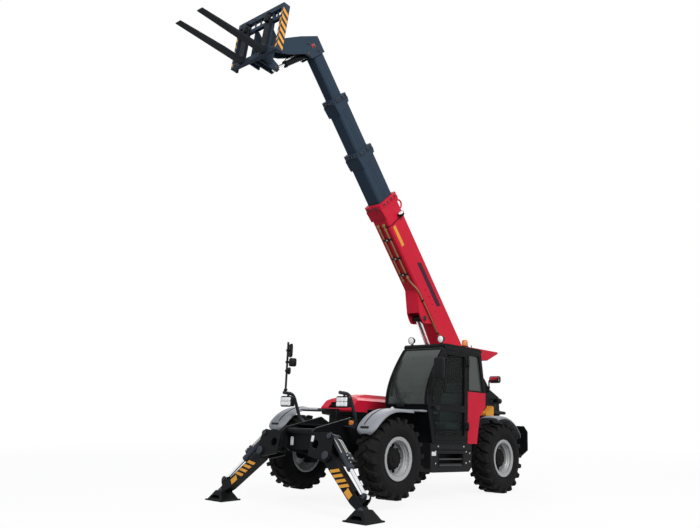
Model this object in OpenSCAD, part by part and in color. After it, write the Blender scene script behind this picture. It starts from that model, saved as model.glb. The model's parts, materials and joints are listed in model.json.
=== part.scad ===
// Telescopic handler with a four-section boom, a side cab and two front stabilisers.
// Millimetres. +X forward, +Y to the machine's left, +Z up, ground at Z = 0.

/* [Wheels and axles] */
// Distance between the front and the rear axle
wheelbase = 3080; // [2900:10:3300]
// Distance between the middle planes of the left and right tyres
track = 2030; // [1950:10:2150]
// Tyre radius out to the tips of the lugs
tyre_r = 625; // [590:5:660]
// Tyre width over the side walls
tyre_w = 400; // [360:5:440]
// Height of the lugs over the tyre's carcass
lug_h = 34; // [20:1:45]
// Lugs on each half of a tyre
lug_count = 20; // [14:1:24]
// Radius of the rim's flange
rim_r = 333; // [310:1:350]
// Distance of the steering pivot from the tyre's middle plane
kingpin_inset = 205; // [195:5:240]
// Radius of the axle tubes
axle_r = 95; // [70:5:110]

/* [Chassis] */
// Distance between the outer faces of the two frame plates
frame_w = 700; // [660:10:740]
// Thickness of the frame plates
plate_t = 30; // [20:1:40]
// Top edge of the frame between the axles
frame_top = 1010; // [950:10:1060]
// Lower edge of the frame between the axles
frame_low = 520; // [460:10:560]
// Front edge of the nose, ahead of the front axle
nose_reach = 1080; // [1000:10:1150]
// Rear edge of the counterweight, behind the rear axle
tail_reach = 1380; // [1300:10:1450]
// Height of the fenders over the tyre
fender_gap = 125; // [90:5:160]

/* [Cab] */
// Left face of the cab, from the middle of the machine
cab_left = 1160; // [1100:10:1200]
// Right face of the cab, from the middle of the machine
cab_right = 255; // [250:5:300]
// Lower edge of the cab
cab_low = 870; // [840:5:900]
// Top of the cab's side walls
cab_top = 2490; // [2400:10:2560]
// Thickness of the cab's walls and of the door
wall_t = 50; // [30:5:60]
// Thickness of the roof
roof_t = 60; // [40:5:90]
// Rear edge of the door, ahead of the rear axle
door_rear = 1180; // [1100:10:1260]
// Thickness of the window glass
glass_t = 8; // [5:1:12]

/* [Engine bay] */
// Outer face of the engine bay, from the middle of the machine
bay_side = 1120; // [1050:10:1160]
// Top edge of the engine bay, under the lid
bay_top = 1340; // [1300:10:1380]
// Height of the engine lid at its crown
lid_h = 330; // [260:10:360]
// Thickness of the sheet panels
sheet_t = 20; // [10:1:30]

/* [Boom] */
// Angle of the boom over the level
boom_angle = 48.8; // [40:0.2:56]
// Boom pivot behind the rear axle
pivot_back = 420; // [380:10:460]
// Height of the boom pivot
pivot_z = 2000; // [1950:10:2050]
// Middle plane of the boom, to the left of the machine's middle
boom_y = 35; // [20:5:50]
// Depth of the outer boom section
boom_d = 530; // [500:5:560]
// Width of the outer boom section
boom_w = 340; // [310:5:350]
// Loss of depth from one boom section to the next
step_d = 86; // [80:1:92]
// Loss of width from one boom section to the next
step_w = 46; // [42:1:50]
// Wall of the boom sections
boom_t = 12; // [8:1:16]
// Length of the outer section from its pivot to its mouth
outer_len = 4250; // [4100:10:4400]
// Length that each section stands out of the one before it
show_len = 1020; // [900:10:1100]
// Length of the collar at each section's mouth
collar_len = 300; // [240:10:340]

/* [Head and carriage] */
// Drop of the carriage pivot below the boom's middle line
head_drop = 870; // [820:10:920]
// Reach of the carriage pivot beyond the mouth of the third section
head_reach = 1180; // [1120:10:1240]
// Tilt of the forks over the level
fork_tilt = 7; // [4:0.5:12]
// Width of the carriage
carriage_w = 1110; // [1040:10:1200]
// Height of the carriage
carriage_h = 850; // [800:10:920]
// Length of the forks ahead of the carriage
fork_len = 1250; // [1150:10:1350]
// Distance between the middles of the two forks
fork_gap = 540; // [440:10:600]
// Width of each fork
fork_w = 125; // [100:5:150]

/* [Cylinders] */
// Radius of the lift cylinder's barrel
lift_r = 92; // [80:1:100]
// Radius of the lift cylinder's rod
lift_rod_r = 58; // [50:1:65]
// Radius of the stabiliser cylinders' barrels
stab_r = 52; // [44:1:58]
// Radius of the stabiliser cylinders' rods
stab_rod_r = 29; // [24:1:34]
// Radius of the tilt cylinder's barrel
tilt_r = 50; // [42:1:56]

/* [Stabilisers] */
// Middle of the stabiliser legs, ahead of the front axle
stab_ahead = 1040; // [1010:5:1060]
// Distance of the leg pivots from the middle of the machine
leg_pivot_y = 735; // [700:5:760]
// Height of the leg pivots
leg_pivot_z = 630; // [610:5:660]
// Length of the legs from pivot to ankle
leg_len = 1080; // [1040:10:1140]
// Height of the ankle over the sole of the foot
ankle_h = 130; // [110:5:150]
// Width of the feet across the machine
foot_w = 430; // [380:10:480]
// Length of the feet along the machine
foot_l = 400; // [340:10:440]
// Forward lean of the legs' plane against the frame
stab_rake = 12; // [8:0.5:14]
// Lean of the whole machine, nose up, with its front lifted off the ground by the stabilisers
nose_up = 2.5; // [0:0.1:3]

/* [Hidden] */
$fn = 48;
fit = 0.3;
front_x = wheelbase;
pivot_x = -pivot_back;
frame_y = frame_w / 2;
carcass_r = tyre_r - lug_h;
ca = cos(boom_angle);
sa = sin(boom_angle);
d2 = boom_d - step_d;
d3 = d2 - step_d;
d4 = d3 - step_d;
w2 = boom_w - step_w;
w3 = w2 - step_w;
w4 = w3 - step_w;
mouth2 = outer_len + show_len;
mouth3 = mouth2 + show_len;
// tails of the sections, so that a long stroke still leaves them held
stroke = 3200;
tail2 = outer_len - stroke - 240;
tail3 = mouth2 - stroke - 240;
tail4 = mouth3 - stroke - 240;
head_a = mouth3 + head_reach;
function boom_pt(a, n) = [pivot_x + a * ca - n * sa, pivot_z + a * sa + n * ca];
pivot_c = boom_pt(head_a, -head_drop);
// carriage: back face and fork heel, from the carriage pivot
car_back = 300;
car_t = 70;
car_low = -400;
fork_t = 55;
fork_z = car_low + 20;
tip_x = car_back + car_t + fork_len;
// place along the ground of a point on the leaning machine
function level_x(p) = p[0] * cos(nose_up) - (p[1] - tyre_r) * sin(nose_up);
jaw_top = 760;
front_edge = level_x(pivot_c) + tip_x * cos(fork_tilt + nose_up) - fork_z * sin(fork_tilt + nose_up);
rear_edge = level_x([-tail_reach, jaw_top]);
mid_x = (front_edge + rear_edge) / 2;
// lift cylinder: pins on the frame and on the boom
lift_base = [-150, 1150];
lift_a = 1900;
lift_n = -boom_d / 2 - 165;
lift_top = boom_pt(lift_a, lift_n);
lift_v = lift_top - lift_base;
lift_len = norm(lift_v);
lift_ang = atan2(lift_v[1], lift_v[0]);
lift_barrel_l = 1480;
// tilt cylinder: pins on the head and on the carriage, along and below the boom
head_back = 300;
tilt_base = [head_a - head_back - 20, -d4 / 2 - 110];
tilt_end_c = [-70, -330];
ct = cos(boom_angle - fork_tilt);
st = sin(boom_angle - fork_tilt);
tilt_end = [head_a + tilt_end_c[0] * ct + tilt_end_c[1] * st,
            -head_drop - tilt_end_c[0] * st + tilt_end_c[1] * ct];
tilt_v = tilt_end - tilt_base;
tilt_len = norm(tilt_v);
tilt_ang = atan2(tilt_v[1], tilt_v[0]);
// stabilisers: leg angle that stands the foot on the ground, and the cylinder's pins
stab_x = front_x + stab_ahead;
pivot_over = tyre_r + stab_x * sin(nose_up) + (leg_pivot_z - tyre_r) * cos(nose_up);
leg_drop = (pivot_over - ankle_h) / cos(stab_rake + nose_up);
leg_ang = asin(leg_drop / leg_len);
function leg_pt(a, n) = [leg_pivot_y + a * cos(leg_ang) + n * sin(leg_ang),
                         leg_pivot_z - a * sin(leg_ang) + n * cos(leg_ang)];
ram_top = [leg_pivot_y, leg_pivot_z + 285];
ram_n = 150;
ram_end = leg_pt(leg_len - 130, ram_n);
ram_v = ram_end - ram_top;
ram_len = norm(ram_v);
ram_ang = atan2(ram_v[1], ram_v[0]);
ram_barrel_l = 620;
ankle = leg_pt(leg_len, 0);
// cab outline in side view
function bez(p, q, r, n) = [for (i = [0 : n]) let (t = i / n)
  (1 - t) * (1 - t) * p + 2 * t * (1 - t) * q + t * t * r];
screen_low = [2310, 1480];
screen_top = [1820, cab_top];
screen_bow = [2345, 1875];
screen_line = bez(screen_low, screen_bow, screen_top, 8);
cab_rear_top = [720, cab_top];
cab_rear_mid = [570, 1770];
cab_nose = [2170, cab_low];
arch_low = [850, cab_low];
arch_mid = [760, 1340];
arch_top = [570, 1520];

// shared placing and shapes

module whole() {
  translate([-mid_x, 0, tyre_r]) rotate([0, -nose_up, 0]) translate([0, 0, -tyre_r]) children();
}

module on_boom() { translate([pivot_x, boom_y, pivot_z]) rotate([0, -boom_angle, 0]) children(); }

module on_carriage() {
  translate([pivot_c[0], boom_y, pivot_c[1]]) rotate([0, -fork_tilt, 0]) children();
}

// the stabilisers' plane, leaning forward about the leg pivots
module raked() {
  translate([stab_x, 0, leg_pivot_z]) rotate([0, -stab_rake, 0]) translate([-stab_x, 0,
    -leg_pivot_z]) children();
}

module on_leg() { raked() translate([stab_x, leg_pivot_y, leg_pivot_z]) rotate([-leg_ang, 0,
  0]) children(); }

module on_ram() { raked() translate([stab_x, ram_top[0], ram_top[1]]) rotate([ram_ang, 0, 0]) children(); }

// the ankle, with its upright square to the ground
module on_ankle() {
  raked() translate([stab_x, ankle[0], ankle[1]]) rotate([0, stab_rake + nose_up, 0]) children();
}

module on_side(left) { if (left) children(); else mirror([0, 1, 0]) children(); }

module at_wheel(front, left) {
  on_side(left) translate([front ? front_x : 0, track / 2, tyre_r]) children();
}

// box between two corners
module span(a, b) { translate(a) cube(b - a); }

// plate cut to an outline in side view, from y0 to y1
module side_plate(pts, y0, y1) {
  translate([0, y1, 0]) rotate([90, 0, 0]) linear_extrude(y1 - y0) polygon(pts);
}

// plate cut to an outline in front view, from x0 to x1
module front_plate(pts, x0, x1) {
  translate([x0, 0, 0]) rotate([90, 0, 90]) linear_extrude(x1 - x0) polygon(pts);
}

// round bar along Y, X or Z
module bar_y(x, z, r, y0, y1) { translate([x, y1, z]) rotate([90, 0, 0]) cylinder(r = r, h = y1 - y0); }
module bar_x(y, z, r, x0, x1) { translate([x0, y, z]) rotate([0, 90, 0]) cylinder(r = r, h = x1 - x0); }
module bar_z(x, y, r, z0, z1) { translate([x, y, z0]) cylinder(r = r, h = z1 - z0); }

// round bar between two points
module rod(a, b, r) {
  v = b - a;
  translate(a) rotate([0, acos(v[2] / norm(v)), atan2(v[1], v[0])]) cylinder(r = r, h = norm(v));
}

// bent tube through a list of points, with a ball at each bend
module bent_tube(pts, r) {
  for (i = [0 : len(pts) - 2]) rod(pts[i], pts[i + 1], r);
  for (i = [1 : len(pts) - 2]) {
    a = pts[i] - pts[i - 1];
    b = pts[i + 1] - pts[i];
    half = acos(a * b / (norm(a) * norm(b))) / 2;
    translate(pts[i]) sphere(r = r * (1 / cos(half) + 0.02));
  }
}

// hydraulic barrel along X from its eye at the origin; the eye turns about Y
module barrel(l, r, rod_r, eye_r, eye_w, pin_r) {
  difference() {
    union() {
      translate([0, eye_w / 2, 0]) rotate([90, 0, 0]) cylinder(r = eye_r, h = eye_w);
      translate([eye_r * 0.6, 0, 0]) rotate([0, 90, 0]) cylinder(r = r * 0.9, h = eye_r);
      translate([eye_r * 1.2, 0, 0]) rotate([0, 90, 0]) cylinder(r = r, h = l - eye_r * 1.2);
      translate([l - r * 0.8, 0, 0]) rotate([0, 90, 0]) cylinder(r = r * 1.1, h = r * 0.8);
    }
    translate([0, eye_w, 0]) rotate([90, 0, 0]) cylinder(r = pin_r + fit, h = eye_w * 2);
    translate([eye_r * 1.6, 0, 0]) rotate([0, 90, 0]) cylinder(r = r * 0.8, h = l - eye_r * 1.6 - r * 0.6);
    translate([l - r, 0, 0]) rotate([0, 90, 0]) cylinder(r = rod_r + fit, h = r * 2);
  }
}

// hydraulic rod along X, from its piston at x0 to its eye at x = l
module piston(x0, l, r, bore_r, eye_r, eye_w) {
  translate([x0, 0, 0]) rotate([0, 90, 0]) cylinder(r = bore_r - fit, h = bore_r * 0.4);
  translate([x0, 0, 0]) rotate([0, 90, 0]) cylinder(r = r, h = l - x0 - eye_r * 0.7);
  translate([l, eye_w / 2, 0]) rotate([90, 0, 0]) cylinder(r = eye_r, h = eye_w);
}

// wheels and axles

module tyre(front, left) {
  h = tyre_w / 2;
  b = rim_r - 30;
  color("#1c1c1e") at_wheel(front, left) rotate([-90, 0, 0]) union() {
    rotate_extrude($fn = 144) polygon([[b, -163], [rim_r + 14, -166], [rim_r + 60, -h + 14], [450, -h],
      [520, -h + 6], [carcass_r - 18, -h + 34], [carcass_r, -h + 90], [carcass_r + 4, 0], [carcass_r,
        h - 90],
      [carcass_r - 18, h - 34], [520, h - 6], [450, h], [rim_r + 60, h - 14], [rim_r + 14, 166], [b, 163],
      [b, 128], [400, 152], [520, 150], [carcass_r - 40, 90], [carcass_r - 36, 0], [carcass_r - 40, -90],
      [520, -150], [400, -152], [b, -128]]);
    intersection() {
      rotate_extrude($fn = 144) polygon([[500, -h + 8], [carcass_r - 4, -h + 2], [tyre_r - 8, -h + 4],
        [tyre_r, -h + 50],
        [tyre_r, h - 50], [tyre_r - 8, h - 4], [carcass_r - 4, h - 2], [500, h - 8], [505, h - 28],
        [carcass_r - 33, h - 68], [carcass_r - 20, h - 108], [carcass_r - 16, 0], [carcass_r - 20, -h + 108],
        [carcass_r - 33, -h + 68], [505, -h + 28]]);
      for (i = [0 : lug_count - 1]) {
        rotate([0, 0, i * 360 / lug_count]) lug(1);
        rotate([0, 0, (i + 0.5) * 360 / lug_count]) lug(-1);
      }
    }
  }
}

// one slanted lug bar, standing out along X of the wheel's frame
module lug(s) {
  h = tyre_w / 2;
  t = 0.16 * PI * carcass_r / lug_count * 2;
  translate([460, 0, 0]) rotate([90, 0, 90]) linear_extrude(tyre_r - 440)
    polygon([[-50 - t, s * -14], [t * 0.9 - 50, s * -14], [t * 0.9 + 24, s * (h * 0.47)], [t + 46,
      s * (h + 4)],
      [46 - t * 1.1, s * (h + 4)], [24 - t, s * (h * 0.47)]]);
}

module rim(front, left) {
  b = rim_r - 30 - fit;
  color("#9aa0a6") at_wheel(front, left) rotate([-90, 0, 0]) difference() {
    rotate_extrude() polygon([[0, -30], [95, -30], [165, -12], [215, -6], [b - 58, -6], [b - 58, -110],
      [b - 18, -130],
      [b - 16, -174], [rim_r - 12, -182], [rim_r, -180], [rim_r, -168], [b, -164], [b, -124], [b - 44, -104],
      [b - 44, 60], [b, 124], [b, 164], [rim_r, 168], [rim_r, 180], [rim_r - 12, 182], [b - 16, 174],
        [b - 18, 128],
      [b - 58, 66], [b - 58, 14], [215, 14], [165, 10], [150, 14], [148, 40], [120, 58], [60, 62], [0, 62]]);
    for (i = [0 : 9]) rotate([0, 0, i * 36]) translate([190, 0, -40]) cylinder(r = 10, h = 90);
  }
}

module knuckle(front, left) {
  k = -kingpin_inset;
  color("#202226") at_wheel(front, left) {
    bar_z(0, k, 62, -112, 112);
    bar_z(0, k, 32, -175, 175);
    bar_y(0, 0, 78, k, -40);
    bar_y(0, 0, 120, -60, -30 - fit);
    span([-200, k - 24, -22], [-40, k + 24, 22]);
  }
}

module axle(front) {
  x = front ? front_x : 0;
  y = track / 2 - kingpin_inset;
  color("#1e2024") difference() {
    union() {
      translate([x, 0, tyre_r]) {
        bar_y(0, 0, axle_r, -y + 110, y - 110);
        bar_y(0, 0, 190, -150, 150);
        span([-110, -frame_y + plate_t, 60], [110, frame_y - plate_t, 205]);
      }
      for (s = [-1, 1]) {
        for (t = [-1, 1]) translate([x, s * y, tyre_r + t * 142]) {
          translate([0, 0, -24]) cylinder(r = 74, h = 48);
          span([-74, s > 0 ? -150 : 0, -24], [74, s > 0 ? 0 : 150, 24]);
        }
        span([x - 80, s * (y - 130) - 30, tyre_r - 166], [x + 80, s * (y - 130) + 30, tyre_r + 166]);
      }
    }
    for (s = [-1, 1]) bar_z(x, s * y, 32 + fit, tyre_r - 300, tyre_r + 300);
    for (s = [-1, 1]) bar_z(x, s * y, 88, tyre_r - 116, tyre_r + 116);
  }
}

module front_axle() { axle(true); }
module rear_axle() { axle(false); }

// chassis

module frame_plate(left) {
  nose = front_x + nose_reach;
  y0 = frame_y - plate_t;
  y1 = frame_y;
  color("#17181b") on_side(left) difference() {
    side_plate([[-1250, 640], [-1280, 900], [-1230, 1790], [-880, 1930], [pivot_x - 250, 2140],
      [pivot_x + 180, 2170],
      [-40, 1960], [240, 1180], [540, frame_top], [front_x - 250, frame_top], [front_x + 200, 1225],
      [nose - 95, 1040], [nose - 15, 975], [nose, 780], [nose - 200, 670], [front_x + 420, 600],
      [front_x - 400, frame_low], [420, frame_low], [-420, 560]], y0, y1);
    for (x = [0, front_x]) {
      bar_y(x, tyre_r, 205, y0 - 1, y1 + 1);
      span([x - 205, y0 - 1, 300], [x + 205, y1 + 1, tyre_r]);
    }
    for (x = [760, 1300, 1840]) bar_y(x, frame_low + 180, 95, y0 - 1, y1 + 1);
    bar_y(-1000, 1350, 150, y0 - 1, y1 + 1);
    bar_y(pivot_x, pivot_z, 55 + fit, y0 - 1, y1 + 1);
    if (left) span([arch_low[0] - 38, y0 - 1, cab_low - fit], [cab_nose[0] + 45, y1 + 1, frame_top + 200]);
  }
}

// cross plates, tubes and pins between the two frame plates
module chassis_frame() {
  nose = front_x + nose_reach;
  i = frame_y - plate_t;
  color("#17181b") {
    for (x = [0, front_x]) span([x - 200, -i, tyre_r + 205], [x + 200, i, tyre_r + 260]);
    for (x = [700, 1500, 2300]) span([x, -i, frame_low + 20], [x + 30, i, cab_low - 20]);
    span([front_x + 420, -i, 610], [front_x + 445, i, 1100]);
    span([nose - 195, -i, 700], [nose - 170, i, 960]);
    span([front_x + 430, -i, 1075], [nose - 330, i, 1100]);
    bar_y(nose - 130, 985, 42, -i, i);
    bar_y(pivot_x, pivot_z, 55, -frame_y - 22, frame_y + 22);
    for (s = [-1, 1]) bar_y(pivot_x, pivot_z, 95, s > 0 ? frame_y : -frame_y - 12,
      s > 0 ? frame_y + 12 : -frame_y);
    bar_y(lift_base[0], lift_base[1], 42, -i, i);
    bar_y(lift_base[0], lift_base[1], 70, -i, boom_y - 85);
    bar_y(lift_base[0], lift_base[1], 70, boom_y + 85, i);
    span([-1225, -i, 700], [-1195, i, 1750]);
  }
}

module counterweight() {
  r = -tail_reach;
  color("#17181b") difference() {
    union() {
      front_plate([[-960, 760], [-960, 1120], [-880, 1230], [880, 1230], [960, 1120], [960, 760], [820,
        640], [-820, 640]],
        r + 70, -1280);
      span([r, -170, 640], [r + 70, 170, 670]);
      span([r, -170, jaw_top - 30], [r + 70, 170, jaw_top]);
    }
    bar_z(r + 38, 0, 19, 600, 800);
  }
}

module stabiliser_beam() {
  color("#17181b") for (s = [true, false]) on_side(s) raked() {
    y0 = frame_y;
    p = leg_pivot_y;
    z = leg_pivot_z;
    face = [[y0, z - 20], [p - 60, z - 85], [p + 20, z - 90], [p + 85, z - 45], [p + 90, z + 25],
      [p + 66, z + 210],
      [p + 56, z + 310], [p - 10, z + 350], [p - 120, z + 340], [y0, z + 330]];
    for (x = [-100, 75]) difference() {
      front_plate(face, stab_x + x, stab_x + x + 25);
      bar_x(p - 270, z + 150, 70, stab_x - 200, stab_x + 200);
    }
    span([stab_x - 90, y0, z + 15], [stab_x + 90, p - 190, z + 45]);
    span([stab_x - 90, y0, z + 270], [stab_x + 90, p - 190, z + 300]);
    bar_x(p, z, 38, stab_x - 122, stab_x + 122);
    bar_x(ram_top[0], ram_top[1], 27, stab_x - 115, stab_x + 115);
    for (x = [-112, 100]) bar_x(p, z, 66, stab_x + x, stab_x + x + 12);
    for (x = [-110, 100]) bar_x(ram_top[0], ram_top[1], 46, stab_x + x, stab_x + x + 10);
  }
}

module stab_leg(left) {
  l = leg_len;
  color("#17181b") on_side(left) {
    difference() {
      on_leg() {
        difference() {
          front_plate([[-60, -62], [60, -104], [l - 220, -86], [l + 40, -34], [l + 52, 20], [l + 20, 52],
            [l - 60, 60], [420, 66], [40, 66], [-50, 62], [-78, 0]], -66, 66);
          front_plate([[150, -84], [l - 260, -70], [l - 260, 44], [430, 50], [150, 50]], -54, 54);
          bar_x(0, 0, 38 + fit, -200, 200);
          span([-36, l - 330, -30], [36, l - 50, 200]);
        }
        for (x = [-58, 36]) {
          front_plate([[l - 290, 40], [l - 60, 20], [l - 70, ram_n - 15], [l - 90, ram_n + 30], [l - 130,
            ram_n + 50],
            [l - 170, ram_n + 30], [l - 196, 95], [l - 228, 62]], x, x + 22);
        }
      }
    }
    on_ankle() translate([0, 0, -ankle_h]) difference() {
      foot_shape();
      front_plate([[-120, 40], [120, 40], [70, 90], [-70, 90]], -400, 400);
    }
  }
}

// foot pad: a sole plate with a hollow, sloping boss under the ankle
module foot_shape() {
  span([-foot_l / 2, -foot_w / 2, 0], [foot_l / 2, foot_w / 2, 22]);
  intersection() {
    front_plate([[-foot_w / 2 + 20, 10], [foot_w / 2 - 20, 10], [75, ankle_h + 30], [-75, ankle_h + 30]],
      -foot_l, foot_l);
    side_plate([[-foot_l / 2 + 20, 10], [foot_l / 2 - 20, 10], [100, ankle_h + 30], [-100, ankle_h + 30]],
      -foot_w, foot_w);
  }
}

module stab_barrel(left) {
  color("#17181b") on_side(left) on_ram() rotate([0, 0, 90])
    barrel(ram_barrel_l, stab_r, stab_rod_r, 48, 130, 27);
}

module stab_rod(left) {
  color("#c8ccd0") on_side(left) on_ram() rotate([0, 0, 90])
    piston(ram_barrel_l - 105, ram_len, stab_rod_r, stab_r * 0.8, 40, 60);
}

module step_tank() {
  y0 = frame_y;
  color("#191a1d") difference() {
    side_plate([[1000, 470], [1080, 400], [2150, 400], [2200, 460], [2200, cab_low], [1000, cab_low]],
      y0, cab_left - 10);
    span([1270, 960, 500], [1960, cab_left, 700]);
    span([1050, cab_left - 22, 740], [2150, cab_left, 765]);
    span([1030, y0 + 20, 480], [2170, 930, cab_low - 20]);
  }
}

module front_fenders() {
  r = tyre_r + fender_gap;
  y = track / 2;
  color("#8d9198") for (s = [true, false]) on_side(s) {
    translate([front_x, 0, tyre_r]) rotate([90, 0, 0]) rotate([0, 0, 32]) rotate_extrude(angle = 58,
      $fn = 144) fender_section(r, -y);
    translate([front_x, 0, tyre_r]) rotate([0, -90, 0]) linear_extrude(330)
      fender_section(r, y);
    span([front_x - 260, frame_y + 8, tyre_r + r - 22], [front_x - 180, y - 205, tyre_r + r]);
    span([front_x - 260, frame_y, frame_top - 120], [front_x - 180, frame_y + 14, tyre_r + r]);
  }
}

// section of a fender: flat top with a step and a short lip on both sides, radius along X
module fender_section(r, y) {
  polygon([[r - 22, y - 205], [r + 2, y - 205], [r + 14, y - 175], [r + 14, y + 175], [r + 2, y + 205],
    [r - 22, y + 205],
    [r - 22, y + 195], [r, y + 165], [r, y - 165], [r - 22, y - 195]]);
}

module rear_fenders() {
  r = tyre_r + fender_gap;
  y = track / 2;
  color("#8d9198") for (s = [true, false]) on_side(s) {
    translate([0, 0, tyre_r]) rotate([90, 0, 0]) rotate([0, 0, 72]) rotate_extrude(angle = 78,
      $fn = 144) fender_section(r, -y);
    span([-140, frame_y + 8, tyre_r + r - 22], [-60, y - 205, tyre_r + r]);
    span([-140, frame_y, frame_top - 60], [-60, frame_y + 14, tyre_r + r]);
  }
}

// engine bay

bay_in = [925, 2255];
lid_hinge = [884, bay_top + 14];
module engine_bay() {
  y0 = -bay_side;
  y1 = -frame_y;
  color("#17181b") {
    difference() {
      side_plate([[900, 470], [980, 420], [2180, 420], [2280, 520], [2280, 1265], [2470, 1285], [2490,
        bay_top],
        [900, bay_top]], y0, y1);
      span([bay_in[0], y0 + sheet_t, 450], [bay_in[1], y1 - sheet_t, bay_top + 1]);
      span([bay_in[1] - 1, y0 + sheet_t, 1300], [2460, y1 - sheet_t, bay_top + 1]);
      for (i = [0 : 7]) span([1080, y0 - 1, 760 + i * 60], [1560, y0 + sheet_t + 1, 788 + i * 60]);
      for (i = [0 : 7]) span([1640, y0 - 1, 760 + i * 60], [2120, y0 + sheet_t + 1, 788 + i * 60]);
    }
    for (y = [-bay_side + 120, -frame_y - 200]) {
      bar_y(lid_hinge[0], lid_hinge[1], 6, y - 20, y + 100);
      for (a = [y - 22, y + 82]) span([lid_hinge[0] - 12, a, bay_top - 50], [901, a + 20, bay_top - 8]);
      for (a = [y - 22, y + 82]) span([lid_hinge[0] - 12, a, bay_top - 9], [lid_hinge[0] + 12, a + 20,
        lid_hinge[1] + 12]);
    }
  }
}

module engine_block() {
  color("#3a3d42") {
    span([1120, -980, 450], [1880, -520, 1120]);
    span([1160, -900, 1119], [1840, -600, 1240]);
    bar_x(-750, 760, 210, 1879, 2000);
    span([2120, -1040, 450], [2200, -430, 1180]);
  }
}

function lid_side(d) = [[912 + d, bay_top + fit - d], [2492 - d, bay_top + fit - d], [2510 - d,
  bay_top + 30], [2500 - d, bay_top + 70],
  [2350 - d, bay_top + 215 - d], [2270, bay_top + 262 - d], [1900, bay_top + lid_h - d],
  [1000, bay_top + lid_h - d], [912 + d, bay_top + lid_h - 40 - d]];
function lid_front(d) = [[-bay_side + d, bay_top - d], [-bay_side + d, bay_top + 190 - d * 0.6],
  [-bay_side + 90, bay_top + 232 - d],
  [-frame_y - 560, bay_top + 262 - d], [-frame_y - 490, bay_top + lid_h - d], [-frame_y - 240,
    bay_top + lid_h - d],
  [-frame_y - 170, bay_top + 262 - d], [-frame_y - 60, bay_top + 232 - d], [-frame_y - d,
    bay_top + 205 - d * 0.6],
  [-frame_y - d, bay_top - d]];

module engine_lid() {
  color("#c0232f") union() {
    difference() {
      intersection() {
        side_plate(lid_side(0), -bay_side - 1, -frame_y + 1);
        front_plate(lid_front(0), 800, 2600);
      }
      intersection() {
        side_plate(lid_side(sheet_t), -bay_side - 1, -frame_y + 1);
        front_plate(lid_front(sheet_t), 800, 2600);
      }
      span([2330, -bay_side + 170, bay_top + 60], [2600, -frame_y - 170, bay_top + 165]);
    }
    for (y = [-bay_side + 120, -frame_y - 200]) difference() {
      union() {
        span([lid_hinge[0], y, lid_hinge[1] - 8], [913, y + 80, lid_hinge[1] + 8]);
        bar_y(lid_hinge[0], lid_hinge[1], 12, y, y + 80);
      }
      bar_y(lid_hinge[0], lid_hinge[1], 6 + fit, y - 1, y + 81);
    }
  }
}

// cab

door_hinge = [door_rear - 24, cab_left + 22];
module cab_wall(y0, y1) {
  side_plate(concat([cab_nose], screen_line, [cab_rear_top, cab_rear_mid, arch_top, arch_mid, arch_low]),
    y0, y1);
}

// opening for the door and the gap all round it
function door_line(g) = concat([[door_rear + g, cab_low + 45 + g], [2120 - g, cab_low + 45 + g],
  [2245 - g, 1480]],
  bez([2235 - g, 1560], [2250 - g, 1900], [1800, cab_top - 62 - g], 6), [[door_rear + g, cab_top - 62 - g]]);

module cab_shell() {
  l = cab_left;
  r = cab_right;
  t = wall_t;
  color("#191b1e") union() {
    difference() {
      cab_wall(l - t, l);
      side_plate(door_line(0), l - t - 1, l + 1);
      side_plate([[door_rear - 60, 1790], [door_rear - 60, cab_top - 70], [790, cab_top - 70], [650,
        1790]], l - t - 1, l + 1);
      side_plate([[door_rear - 40, cab_low - 1], [door_rear - 40, 1770], [500, 1770], [500,
        cab_low - 1]], l - t - 1, l + 1);
    }
    difference() {
      cab_wall(r, r + t);
      side_plate(concat([[1000, 1340], [2225, 1500]], bez([2222, 1560], [2236, 1890], [1780,
        cab_top - 70], 6),
        [[790, cab_top - 70], [690, 1800], [830, 1500]]), r - 1, r + t + 1);
    }
    for (z = [1120, 2220]) {
      bar_z(door_hinge[0], door_hinge[1], 8, z - 20, z + 100);
      span([door_hinge[0] - 14, l - 1, z - 26], [door_hinge[0] + 14, l + 36, z - fit]);
    }
    span([840, r + 1, cab_low], [door_rear - 30, l - t + 1, cab_low + 40]);
    span([door_rear - 40, r + 1, cab_low], [2160, l - 1, cab_low + 40]);
    side_plate([cab_nose, screen_low, screen_low - [t, 0], cab_nose - [t, 0]], r + 1, l - 1);
    side_plate([screen_low - [14, 1], screen_low + [-14, 50], screen_low + [-60, 50], screen_low - [60,
      1]], r + 1, l - 1);
    side_plate([screen_top + [-80, 0], screen_top + [-18, -6], screen_top + [26, -58], screen_top + [14,
      -62],
      screen_top + [-80, -60]], r + 1, l - t + 1);
    difference() {
      side_plate([cab_rear_top, cab_rear_mid, arch_top, arch_mid, arch_low, arch_low + [t, 0],
        arch_mid + [t, 20],
        arch_top + [t, 30], cab_rear_mid + [t, 0], cab_rear_top + [t, 0]], r + 1, l - t + 1);
      span([400, r + t + 40, 1790], [900, l - t - 40, cab_top - 80]);
    }
  }
}

module cab_roof() {
  color("#232529") side_plate([screen_top + [18, 0], screen_top + [12, 30], screen_top + [-14, roof_t],
    [760, cab_top + roof_t], [690, cab_top + 30], [690, cab_top]], cab_right, cab_left);
}

module roof_cowl() {
  y0 = cab_right + 20;
  color("#c0232f") difference() {
    side_plate([[1140, cab_top + roof_t], [1140, cab_top + roof_t + 18], [90, cab_top + roof_t + 18],
      [70, cab_top + roof_t - 10], [450, cab_top - 115], [672, cab_top - 115], [689, cab_top + 20], [689,
        cab_top + roof_t]],
      y0, cab_left - 40);
    side_plate([[210, cab_top + roof_t - 14], [660, cab_top + roof_t - 14], [650, cab_top - 93], [470,
      cab_top - 93]],
      y0 + 22, cab_left - 62);
  }
}

module quarter_panel() {
  t = wall_t;
  x1 = door_rear - 41;
  color("#c0232f") side_plate([[x1, cab_low], [x1, 1769], cab_rear_mid + [2, -2], arch_top + [2, 0],
    arch_mid + [2, 0],
    arch_low + [2, 0]], cab_left - t + 1, cab_left + 4);
}

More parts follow.
